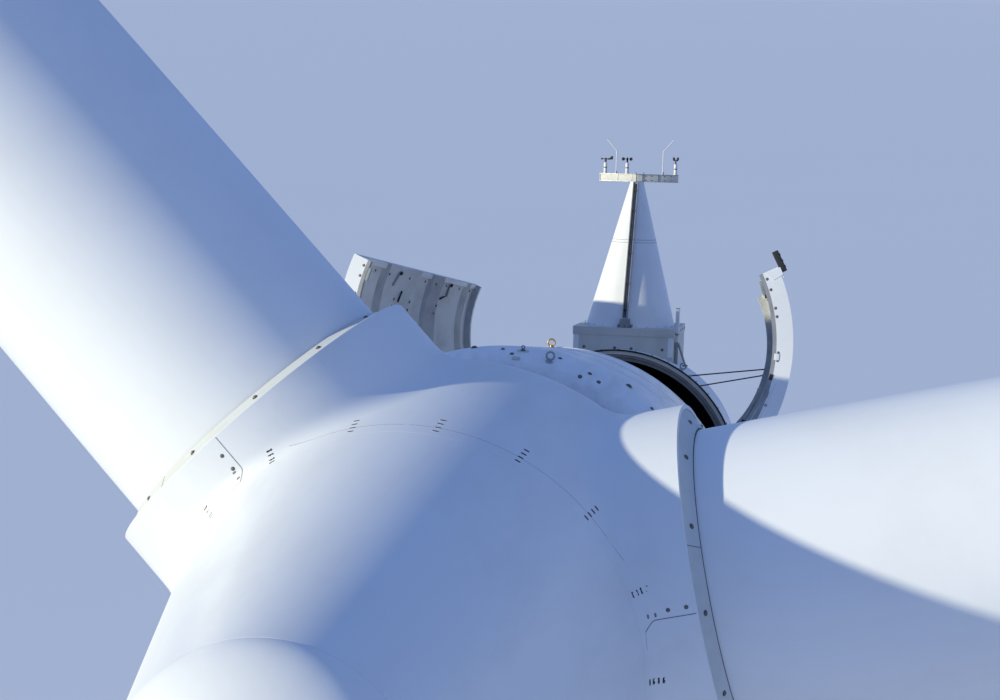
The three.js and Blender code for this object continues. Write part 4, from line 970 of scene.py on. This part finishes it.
def make_shell_fittings():
    """Joints, bolts and small openings of the plain shells."""
    parts = Parts()
    for y in SIDE_SEAMS:
        spots = np.linspace(HATCH_ANGLE + 5.0, 355.0 - HATCH_ANGLE, 120)
        parts.add(ribbon([hull(a, y) for a in spots], 0.009), "soft_seam")
    for y, angles in SHELL_BOLTS:
        for angle in angles:
            parts.bolt(*hull(angle, y), 0.012, 0.0084)
    for angle in KEEL_BOLT_ANGLES:
        for y in np.arange(6.9, 11.9, 0.55):
            parts.bolt(*hull(angle, y), 0.011, 0.008)
    parts.add(seam_band(TAIL_SEAM), "soft_seam")
    for start in VENT_STARTS:
        for row in range(VENT_ROWS):
            y = VENT_FRONT + VENT_PITCH * row
            spots = [hull(a, y) for a in np.linspace(start, start + VENT_SWEEP, 12)]
            # Black strips: painted shade standing for the vents' dark openings.
            parts.add(ribbon(spots, 0.03), "black")
    parts.piece("shell_fittings", "nacelle")


# Roof hatches, drawn closed and then swung open

HATCH_SEGMENTS = 48
EDGE_BOLT_STATIONS = (6.885, 7.35, 7.81, 8.7, 9.57, 9.97, 10.6, 11.26, 11.8)
FRAME_BOLT_ANGLES = (2.5, 6.3, 12.7, 15.6, 27.8, 30.4, 46.0, 58.0, 66.0)
# Places are (angle, station) on the inner face
HATCH_LATCHES = [
    {"plate": ((2.6, 8.18), (7.75, 8.07)), "lever": ((9.5, 8.49), (13.9, 8.43)),
     "dots": [(13.0, 8.29), (15.8, 8.26), (13.2, 8.99), (16.5, 8.96)]},
    {"plate": ((3.1, 10.73), (8.65, 10.72)), "lever": ((8.65, 10.62), (9.9, 10.44)),
     "dots": [(13.2, 10.26), (16.6, 10.2)]},
]
# (angle, radius) on the rear frame, then (angle, depth) on the hatch's rear end
STAYS = [((35.0, 2.04), (35.4, 0.035)), ((40.5, 1.96), (38.6, 0.075))]


def hatch_steps():
    """(depth under the hull, station, finish of the face that follows)"""
    skin, rib = HATCH_SKIN, HATCH_RIB_DEPTH
    front, rear = HATCH_START, HATCH_END
    inner = front + HATCH_FRAME_WIDTH
    outer = rear - HATCH_FRAME_WIDTH
    # The 'rib' faces are painted shade on the rib slopes and frame sides; the two 'shell' faces at 9.14 to
    # 9.17 are a painted highlight along a rib's front edge.
    return [
        (0.0, front, "shell"), (HATCH_WHITE_DEPTH, front, "coaming"),
        (HATCH_FRAME_DEPTH, front, "coaming"), (HATCH_FRAME_DEPTH, inner, "rib"),
        (skin + 0.008, inner + 0.002, "rib"), (skin, inner + 0.012, "hatch"),
        (skin, 7.58, "rib"), (rib, 7.76, "hatch"), (rib, 9.14, "shell"), (rib - 0.012, 9.17, "shell"),
        (skin, 9.2, "hatch"), (skin, 9.69, "rib"), (rib - 0.01, 9.76, "rib"), (rib - 0.01, 10.3, "rib"),
        (skin, 10.38, "hatch"), (skin, 11.43, "rib"), (skin + 0.03, 11.5, "rib"), (skin + 0.03, 11.68, "rib"),
        (skin, 11.7, "hatch"), (skin, outer - 0.002, "rib"), (HATCH_REAR_DEPTH, outer, "hatch"),
        (HATCH_REAR_DEPTH, rear, "hatch"), (0.0, rear, "shell"),
    ]


class Hatch:
    """Places points on a hatch that is drawn closed."""

    def __init__(self, name):
        self.side = SIDES[name]
        front = self.at(HATCH_ANGLE, OPENING_FRONT, HINGE_OFFSET)
        hinge = self.at(HATCH_ANGLE, OPENING_REAR, HINGE_OFFSET) - front
        turn = Matrix.Rotation(self.side * radians(HATCH_OPEN[name]), 4, hinge.normalized())
        self.swing = Matrix.Translation(front) @ turn @ Matrix.Translation(-front)

    def at(self, angle, y, offset):
        """Off the straight cone between the opening's ends."""
        share = (y - OPENING_FRONT) / (OPENING_REAR - OPENING_FRONT)
        r = OPENING_FRONT_RADIUS + (OPENING_REAR_RADIUS - OPENING_FRONT_RADIUS) * share + offset
        return radial(self.side * angle) * r + Y * y

    def under(self, angle, y, lift=0.0):
        """On the inner face, lifted inwards."""
        table = [(station, depth) for depth, station, _ in hatch_steps()][1:-1]
        depth = float(np.interp(y, [s for s, _ in table], [d for _, d in table]))
        return self.at(angle, y, -depth - lift)

    def front(self, angle, depth, ahead=0.0):
        """On the front end frame."""
        return self.at(angle, HATCH_START - ahead, -depth)

    def inward(self, angle):
        return -radial(self.side * angle)

    def axes(self, angle):
        """Round the hull, along the rotor axis and inwards."""
        return tangent(self.side * angle) * self.side, -Y, self.inward(angle)


def hatch_bar(parts, place, start, end, width, thick, finish, lift=0.0):
    """A flat bar on the inner face between two (angle, station) places."""
    a, b = place.under(*start, lift + thick / 2.0), place.under(*end, lift + thick / 2.0)
    normal = place.inward((start[0] + end[0]) / 2.0)
    along = b - a
    axes = (along, along.cross(normal), normal)
    parts.add(block((a + b) / 2.0, (along.length, width, thick), axes, 0.004), finish)


def make_hatches():
    steps = hatch_steps()
    gap = degrees(HATCH_EDGE_GAP / OPENING_REAR_RADIUS)
    profile = [(nacelle_radius(y) - depth, y) for depth, y, _ in steps]
    finishes = banded([f for _, _, f in steps], HATCH_SEGMENTS, ["hatch", "hatch"])
    for name, side in SIDES.items():
        shape = lathe(profile, HATCH_SEGMENTS, *sector(side, gap / 2.0, HATCH_ANGLE - gap), closed=True)
        body = f"hatch_{name}"
        add_piece(f"hatch_skin_{name}", shape, finishes, body, body, ROTOR @ Hatch(name).swing, 30.0)


def make_hatch_fittings():
    """A flange along the free edge, bolts, two latches, corner blocks and three thin rods."""
    flange = [
        (-HATCH_SKIN + 0.004, HATCH_START + 0.064), (-HATCH_SKIN - 0.026, HATCH_START + 0.066),
        (-HATCH_SKIN - 0.026, HATCH_END - 0.064), (-HATCH_SKIN + 0.004, HATCH_END - 0.063),
    ]
    profile = [(nacelle_radius(y) + offset, y) for offset, y in flange]
    knob = [(0.03, 0.0), (0.03, 0.03), (0.02, 0.036)]
    for name, side in SIDES.items():
        place = Hatch(name)
        parts = Parts()
        parts.add(lathe(profile, 4, *sector(side, 0.35, 2.4), closed=True), "shell")
        for y in EDGE_BOLT_STATIONS:
            parts.bolt(place.under(4.0, y), place.inward(4.0), 0.017, 0.012)
        for latch in HATCH_LATCHES:
            hatch_bar(parts, place, *latch["plate"], 0.05, 0.025, "coaming")
            hatch_bar(parts, place, *latch["lever"], 0.026, 0.025, "black", 0.01)
            start = latch["plate"][0]
            parts.add(turned(place.under(*start, 0.02), place.inward(start[0]), knob, 20), "black")
            for spot in latch["dots"]:
                parts.bolt(place.under(*spot), place.inward(spot[0]), 0.018, 0.012)
        for angle in FRAME_BOLT_ANGLES:
            parts.bolt(place.front(angle, 0.2), -Y, 0.015, 0.006)
        for angle in (4.85, 62.0):
            corner = block(place.front(angle, 0.3, -0.03), (0.2, 0.05, 0.05), place.axes(angle), 0.008)
            parts.add(corner, "casting")
        for reach in (0.0, 0.05, 0.1):
            end = place.under(8.5 + 40.0 * reach, 6.72 + reach, 0.012)
            parts.add(rod(place.front(5.6, 0.3, -0.035), end, 0.007, 8), "steel")
        parts.piece(f"hatch_fittings_{name}", f"hatch_{name}", matrix=ROTOR @ place.swing)


def make_hatch_stop():
    """The right hatch's rubber stop on its free edge, and the plates on its front end."""
    place = Hatch("right")
    parts = Parts()
    middle = place.at(-1.2, HATCH_START + 0.045, 0.056)
    axes = (tangent(-1.2), Y, radial(-1.2))
    parts.add(block(middle, (0.31, 0.09, 0.09), axes, 0.012), "black")
    parts.add(block(place.at(2.3, HATCH_START + 0.04, 0.012), (0.16, 0.07, 0.05), axes), "shell")
    for shift in (-0.09, 0.0, 0.09):
        rib = middle + axes[0] * shift + axes[2] * 0.048
        parts.add(block(rib, (0.03, 0.08, 0.008), axes, 0.003), "black")
    corners = [(0.5, 0.19), (3.6, 0.12), (3.0, -0.03), (0.5, -0.03)]
    outlines = [[place.front(*corner, ahead) for corner in corners] for ahead in (-0.002, 0.006)]
    parts.add(prism(*outlines), "shell")
    for angle, depth, length, width, finish in (
        (29.2, 0.218, 0.09, 0.07, "shell"), (36.3, 0.25, 0.08, 0.05, "black"),
        (42.4, 0.245, 0.1, 0.05, "coaming"),
    ):
        plate = block(place.front(angle, depth, 0.004), (length, 0.01, width), place.axes(angle), 0.003)
        parts.add(plate, finish)
    bar = [place.front(*spot, 0.005) for spot in ((38.2, 0.159), (44.8, 0.195), (51.4, 0.197))]
    parts.add(tube_along(bar, 0.005, 8), "shell")
    parts.piece("hatch_stop", "hatch_right", matrix=ROTOR @ place.swing)


def make_stays():
    """Two cables hold the right hatch's rear end to the rear frame."""
    hatch = Hatch("right")
    ferrule = [(0.012, 0.0), (0.02, 0.006), (0.02, 0.07), (0.014, 0.085)]
    for i, ((angle, radius), (top, depth)) in enumerate(STAYS):
        start = radial(angle) * radius + Y * STAY_STATION
        end = hatch.swing @ hatch.at(top, HATCH_END + 0.004, -depth)
        stay = Parts()
        route = [start.lerp(end, share) for share in np.linspace(0.0, 1.0, 24)]
        stay.add(tube_along(route, STAY_RADIUS, 10), "black")
        for here, there in ((start, end), (end, start)):
            stay.add(turned(here, there - here, ferrule, 14), "steel")
        piece = stay.piece(f"hatch_stay_{i + 1}", None)
        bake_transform(piece)


# Weather mast, in a frame whose origin is the middle of its foot

MAST_ROWS = 14
MAST_SEGMENTS = 60
MAST_SEAM_SHARES = (0.578, 0.597)
CLIP_SHARES = (0.12, 0.3, 0.51, 0.605, 0.8, 0.94)
ROD_STATIONS = {"left": -0.39, "right": 0.43}


def mast_point(angle, share, offset=0.0):
    """A point of the cone at an angle from the front towards +X and a share of its height."""
    r = MAST_BASE_RADIUS + (MAST_TOP_RADIUS - MAST_BASE_RADIUS) * share + offset
    return swing(-Y, X, angle) * r + (Y * LEAN_SHIFT + Z * MAST_HEIGHT) * share


def mast_normal(angle):
    return swing(-Y, X, angle) + Z * 0.25


def make_mast():
    """Two half cones, each with an outer and an inner face and closed edges."""
    count = 2 * (MAST_SEGMENTS + 1)
    faces = ring_faces(MAST_ROWS + 1, count)
    for row in (0, MAST_ROWS * count):
        for i in range(MAST_SEGMENTS):
            faces.append((row + i, row + i + 1, row + count - 2 - i, row + count - 1 - i))
    for name, (start, end) in {"right": (0.35, 179.8), "left": (180.2, 359.65)}.items():
        turns = np.linspace(start, end, MAST_SEGMENTS + 1)
        points = []
        for share in (row / MAST_ROWS for row in range(MAST_ROWS + 1)):
            points += [mast_point(t, share) for t in turns]
            points += [mast_point(t, share, -MAST_SKIN) for t in turns[::-1]]
        node = f"mast_fairing_{name}"
        add_piece(f"mast_skin_{name}", (points, faces), "shell", "nacelle", node, MAST, 40.0)


def rail_point(share, x=0.0, proud=0.0):
    """A point of the cable rail's front at a share of the mast's height."""
    low, high = -MAST_BASE_RADIUS - RAIL_DEPTH, LEAN_SHIFT - MAST_TOP_RADIUS - RAIL_DEPTH
    return Vector((x, low + (high - low) * share - proud, MAST_HEIGHT * share))


def make_mast_rail():
    """An open channel up the mast's front, with two cables and their clips."""
    parts = Parts()
    edge = 0.012
    wall = RAIL_HALF - edge / 2.0
    # The right wall's dark grey, against the left wall's cream, is painted shade on the side turned away from
    # the light.
    for x, proud, width, depth, finish in (
        (-wall, -0.034, edge, 0.068, "cream"), (wall, -0.034, edge, 0.068, "coaming"),
        (0.0, -0.045, 2.0 * (RAIL_HALF - edge), 0.05, "steel"),
    ):
        first, second = X * (width / 2.0), Y * (depth / 2.0)
        corners = (-first - second, first - second, first + second, second - first)
        parts.add(prism(*([rail_point(s, x, proud) + c for c in corners] for s in (0.0, 1.0))), finish)
    for x in (-0.014, 0.012):
        route = [rail_point(s, x, -0.012) for s in np.linspace(0.07, 0.985, 20)]
        parts.add(tube_along(route, 0.0085), "black")
    for share in CLIP_SHARES:
        parts.add(block(rail_point(share, 0.0, 0.002), (0.06, 0.02, 0.022), bevel=0.004), "black")
        parts.bolt(rail_point(share, 0.022, 0.012), -Y, 0.006, 0.004)
    parts.add(block((0.018, -0.785, 0.032), (0.25, 0.105, 0.06)), "casting")
    parts.add(block((0.01, -0.78, 0.105), (0.17, 0.095, 0.09)), "casting")
    for x in (-0.08, 0.018, 0.116):
        parts.bolt((x, -0.8375, 0.03), -Y, 0.013, 0.008)
    parts.piece("mast_rail", "nacelle", "mast_cable_rail", MAST)


def make_mast_seams():
    """Two thin joints round the cone, bolts along its halves' joint and a foot flange."""
    parts = Parts()
    for share in MAST_SEAM_SHARES:
        for start in (6.0, 186.0):
            turns = np.linspace(start, start + 168.0, 48)
            spots = [(mast_point(a, share, 0.0004), mast_normal(a)) for a in turns]
            parts.add(ribbon(spots, 0.008, 0.0012), "seam")
    for share in np.linspace(0.05, 0.92, 12):
        for angle in (174.5, 185.5):
            parts.bolt(mast_point(angle, share), mast_normal(angle), 0.009, 0.006)
    rows = [(-0.01, 0.014), (0.038, 0.014), (0.042, 0.01), (0.042, 0.0005)]
    points = [mast_point(t, 0.0, out) + Z * z for out, z in rows for t in np.linspace(9.5, 350.5, 97)]
    parts.add((points, ring_faces(4, 97, False)), "shell")
    for i in range(24):
        parts.bolt(mast_point(15.0 + 345.0 * i / 24.0, 0.0, 0.022) + Z * 0.014, Z, 0.009, 0.008)
    parts.piece("mast_seams", "nacelle", matrix=MAST)


def crossbar_point(across, z=CROSSBAR_TOP):
    back = abs(across) * tan(radians(CROSSBAR_SWEEP))
    return Vector((across, LEAN_SHIFT - MAST_TOP_RADIUS + 0.055 + back, z))


def make_crossbar():
    """Two swept arms: a web with a top and a bottom flange, stiffeners and bolts."""
    parts = Parts()
    middle = (CROSSBAR_LOW + CROSSBAR_TOP) / 2.0
    for side in (-1, 1):
        a, b = crossbar_point(side * 0.004, middle), crossbar_point(side * CROSSBAR_REACH, middle)
        along = (b - a).normalized()
        across = Z.cross(along)
        axes = (along, across, Z)
        length = (b - a).length
        center = (a + b) / 2.0
        parts.add(block(center, (length, 0.034, 0.132), axes, 0.004), "cream")
        for z in (CROSSBAR_TOP - 0.005, CROSSBAR_LOW + 0.005):
            parts.add(block((center.x, center.y, z), (length, 0.055, 0.01), axes, 0.003), "steel")
        for share in (0.12, 0.5, 0.985):
            parts.add(block(a.lerp(b, share), (0.008, 0.05, 0.118), axes, 0.002), "steel")
        for share in (0.2, 0.34, 0.66, 0.82):
            for z in (-0.035, 0.035):
                parts.bolt(a.lerp(b, share) - across * 0.017 + Z * z, -across, 0.007, 0.005)
    pin = [(0.014, -0.002), (0.014, 0.008), (0.006, 0.01), (0.006, 0.032), (0.004, 0.034)]
    for x in (-0.017, 0.112):
        parts.add(turned(crossbar_point(x), Z, pin, 12), "bolt")
    parts.piece("crossbar_frame", "nacelle", "mast_crossbar", MAST)


def make_lightning_rods():
    foot = [(0.024, -0.002), (0.024, 0.012), (0.015, 0.018), (0.015, 0.045), (0.01, 0.05)]
    bend = [(0.025 * (1.0 - cos(t)), 0.40 + 0.02 * sin(t)) for t in (0.5, 0.9, 1.3)]
    route = [(0.0, z) for z in (0.004, 0.15, 0.3, 0.38)] + bend + [(0.09, 0.5), (0.172, 0.598)]
    for name, across in ROD_STATIONS.items():
        parts = Parts()
        base = crossbar_point(across)
        parts.add(tube_along([base + Z * z + X * (SIDES[name] * x) for x, z in route], 0.0085, 12), "sensor")
        parts.add(turned(base, Z, foot), "steel")
        parts.piece(f"lightning_rod_bar_{name}", "nacelle", f"lightning_rod_{name}", MAST)


# Weather sensors

def ball(radius, start, end, count):
    """The profile of a part of a ball about its centre."""
    return [(radius * sin(t), -radius * cos(t)) for t in np.linspace(start, end, count)]


def sensor_body(across):
    """A white sensor body with a black band, a cap and a clamp, and the middle of its top."""
    parts = Parts()
    foot = crossbar_point(across)
    for profile, finish in (
        ([(0.036, 0.0005), (0.036, 0.012), (0.030, 0.014), (0.030, 0.094)], "sensor"),
        ([(0.0285, 0.093), (0.0285, 0.112)], "black"),
        ([(0.030, 0.111), (0.030, 0.172), (0.026, 0.184), (0.020, 0.190)], "sensor"),
    ):
        parts.add(turned(foot, Z, profile, 28), finish)
    parts.add(torus(foot + Z * 0.03, X, Y, 0.0305, 0.0025, 28, 6), "steel")
    return parts, crossbar_point(across, HOUSING_TOP)


def make_sensors():
    for name, across in {"vane": VANE_ACROSS, "anemometer": CUPS_ACROSS}.items():
        parts, top = sensor_body(across)
        parts.add(turned(top, Z, [(0.008, -0.004), (0.008, 0.038), (0.006, 0.04)]), "steel")
        parts.piece(f"{name}_body", "nacelle", f"{name}_housing", MAST)
    parts, top = sensor_body(SENSOR_ACROSS)
    neck = [(0.017, -0.002), (0.012, 0.012), (0.012, 0.055), (0.02, 0.062), (0.02, 0.07)]
    parts.add(turned(top, Z, neck, 20), "black")
    lobe = [(r, 0.036 * (1.0 + h / 0.021)) for r, h in ball(0.021, 0.15, pi - 0.1, 12)]
    for side in (-1, 1):
        parts.add(turned(top + Vector((side * 0.024, 0.0, 0.05)), (side * 0.25, 0, 1), lobe, 18), "black")
    parts.piece("second_sensor_body", "nacelle", "second_sensor", MAST)


def turning_head(across, height, radius, level):
    """The hub of a sensor's turning head, open below for its spindle, and the middle of its arms."""
    parts = Parts()
    start = crossbar_point(across, HOUSING_TOP) + Z * ROTOR_LIFT
    outer = [(radius, 0.0), (radius, height * 0.75), (radius * 0.8, height * 0.95), (radius * 0.4, height)]
    parts.add(turned(start, Z, [(0.0095, 0.0)] + outer, 24), "black")
    return parts, start + Z * level


def make_vane():
    parts, center = turning_head(VANE_ACROSS, 0.075, 0.017, 0.055)
    parts.add(rod(center - X * 0.062, center + X * 0.045, 0.006, 12), "black")
    parts.add(turned(center - X * 0.068, -X, ball(0.0165, 0.2, pi - 0.2, 10), 18), "black")
    outline = [
        (0.028, -0.012), (0.075, -0.014), (0.128, -0.008), (0.130, 0.05), (0.105, 0.052), (0.07, 0.016),
        (0.028, 0.006),
    ]
    sides = [[center + Vector((x, y, z)) for x, z in outline] for y in (-0.0022, 0.0022)]
    parts.add(prism(*sides), "black")
    parts.piece("vane_head", "wind_vane", "wind_vane", MAST)


def make_cups():
    parts, center = turning_head(CUPS_ACROSS, 0.08, 0.015, 0.06)
    bowl = ball(0.0265, 0.08, pi / 2.0, 9) + ball(0.030, 0.08, pi / 2.0, 9)[::-1]
    for angle in (90.0, 210.0, 330.0):
        arm = swing(X, Y, angle)
        parts.add(rod(center, center + arm * 0.056, 0.0045, 10), "black")
        parts.add(turned(center + arm * 0.078, swing(-Y, X, angle), bowl, 20), "black")
    parts.piece("cup_wheel", "anemometer_cups", "anemometer_cups", MAST)


# Plinth and tower flange

def make_plinth():
    """The plinth's lip, corner strips and bolts."""
    parts = Parts()
    length = PLINTH_REAR - PLINTH_FRONT
    lip = PLINTH_TOP - 0.07
    for x in (-PLINTH_HALF, PLINTH_HALF):
        center = (x, (PLINTH_FRONT + PLINTH_REAR) / 2.0, lip)
        parts.add(block(center, (0.022, length + 0.022, 0.142)), "plinth")
    for y in (PLINTH_FRONT, PLINTH_REAR):
        parts.add(block((0.0, y, lip), (2 * PLINTH_HALF, 0.022, 0.14)), "plinth")
    for x in (-0.815, 0.815):
        parts.add(block((x, PLINTH_FRONT, 2.08), (0.092, 0.01, 0.33), bevel=0.003), "shell")
    for x in (-0.673, -0.142, 0.142, 0.673):
        for y, normal in ((PLINTH_FRONT, -Y), (PLINTH_REAR, Y)):
            parts.bolt((x, y, 2.04), normal, 0.019, 0.014)
    for y in np.linspace(PLINTH_FRONT + 0.1, PLINTH_REAR - 0.1, 6):
        for side in (-1, 1):
            parts.bolt((side * (PLINTH_HALF + 0.011), y, lip), X * side, 0.014, 0.01)
    parts.piece("plinth_trim", "nacelle")


def make_side_post():
    """The post with its strut beside the plinth."""
    parts = Parts()
    y = PLINTH_FRONT + 0.205
    for out, z, size, bevel, finish in (
        (0.036, 2.45, (0.062, 0.08, 0.57), 0.01, "shell"),
        (0.036, 2.742, (0.068, 0.086, 0.014), 0.004, "coaming"),
        (0.03, 1.93, (0.056, 0.075, 0.48), 0.008, "casting"),
        (0.187, 1.77, (0.09, 0.07, 0.03), 0.006, "casting"),
        (0.03, 2.1, (0.062, 0.12, 0.03), 0.004, "steel"), (0.03, 2.3, (0.062, 0.12, 0.03), 0.004, "steel"),
    ):
        parts.add(block((PLINTH_HALF + out, y, z), size, bevel=bevel), finish)
    for z in (2.1, 2.3):
        for shift in (-0.05, 0.05):
            parts.bolt((PLINTH_HALF + 0.062, y + shift, z), X, 0.009, 0.008)
    parts.add(rod((PLINTH_HALF + 0.06, y, 2.15), (PLINTH_HALF + 0.19, y, 1.78), 0.018), "steel")
    parts.piece("side_post", "nacelle", "plinth_side_post")


def make_yaw_fittings():
    """Studs and nuts round the tower flange, a weld bead and a joint round the yaw collar."""
    parts = Parts()
    washer = [(0.028, 0.0), (0.028, 0.003)]
    nut = washer + [(0.021, 0.004), (0.021, 0.024), (0.012, 0.026), (0.012, 0.05), (0.009, 0.053)]
    for at in circle(Z * FLANGE_TOP, Y, X, STUD_CIRCLE, YAW_BOLTS):
        parts.add(turned(at, Z, nut, 6), "bolt")
    bead = [(-0.004, 0.118), (0.018, 0.12), (0.014, 0.132), (0.0, 0.138)]
    joint = [(-0.003, 0.44), (0.0015, 0.442), (0.0015, 0.45), (-0.003, 0.452)]
    upright = Matrix.Rotation(radians(90.0), 4, "X")
    for profile, finish in ((bead, "shell"), (joint, "soft_seam")):
        points, faces = lathe(moved(profile, YAW_COLLAR_RADIUS, 0.0), 160, closed=True)
        parts.add(([upright @ Vector(p) for p in points], faces), finish)
    parts.piece("yaw_fittings", "nacelle", matrix=Matrix.Identity(4))


# Floor, light and world

FLOOR_REACH = 26000.0
FLOOR_RISE = 700.0
FLOOR_GAP = 0.05
SUN_DIRECTION = (1.0, 0.58, -0.19)
SUN_STRENGTH = 4.0
SUN_ANGLE = 1.5
SUN_COLOR = (1.0, 0.95, 0.70)
SKY_COLOR = (0.28, 0.46, 0.96, 1.0)
SKY_STRENGTH = 0.58


def make_stage():
    """A wide floor whose far part rises a little, so that it fills the view."""
    level = CAD_BOX[0][2] - FLOOR_GAP
    reach = [20.0, 60.0, 180.0, 540.0, 1600.0, 5000.0, 12000.0, FLOOR_REACH]
    rows = [(r, level + FLOOR_RISE * (r / FLOOR_REACH) ** 2) for r in reach]
    points = [(r * cos(a), r * sin(a), z) for r, z in rows for a in np.radians(range(0, 360, 5))]
    mesh = bpy.data.meshes.new("floor")
    mesh.from_pydata(points, [], ring_faces(len(rows), 72) + [tuple(range(72))])
    mesh.materials.append(MAT["floor"])
    new_object("floor", mesh)


def make_lights():
    data = bpy.data.lights.new("key", "SUN")
    data.energy = SUN_STRENGTH
    data.angle = radians(SUN_ANGLE)
    data.color = SUN_COLOR
    light = new_object("key", data)
    light.rotation_euler = Vector(SUN_DIRECTION).to_track_quat("-Z", "Y").to_euler()
    world = bpy.data.worlds.new("studio")
    world.use_nodes = True
    background = world.node_tree.nodes["Background"]
    background.inputs["Color"].default_value = SKY_COLOR
    background.inputs["Strength"].default_value = SKY_STRENGTH
    bpy.context.scene.world = world
    bpy.context.scene.view_settings.view_transform = "Standard"


make_camera()
make_spinner_skin()
make_nose()
make_slots()
make_nose_seam()
make_collar_splits()
make_collar_rims()
make_strip_fittings()
make_blades()
make_ring()
make_ring_fittings()
make_eye_rings()
make_side_shells()
make_rear_frame()
make_tail()
make_shell_fittings()
make_hatches()
make_hatch_fittings()
make_hatch_stop()
make_stays()
make_mast()
make_mast_rail()
make_mast_seams()
make_crossbar()
make_lightning_rods()
make_sensors()
make_vane()
make_cups()
make_plinth()
make_side_post()
make_yaw_fittings()
make_stage()
make_lights()

# Plain pieces that keep their own form
NODE_FINISHES = {
    "steel": ["tower_flange", "hatch_hinge_left", "hatch_hinge_right", "strut_rod_left", "strut_rod_right"],
    "casting": ["main_axle", "hub_casting", "strut_bracket_left", "strut_bracket_right"],
    "black": ["strut_tube_left", "strut_tube_right"],
    # The generator drum's near black is painted shade for the dark inside of the hull.
    "shell": ["yaw_collar"], "dark": ["generator_drum"], "plinth": ["mast_plinth"],
}
for finish_name, node_names in NODE_FINISHES.items():
    for node_name in node_names:
        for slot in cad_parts[node_name].material_slots:
            slot.material = MAT[finish_name]
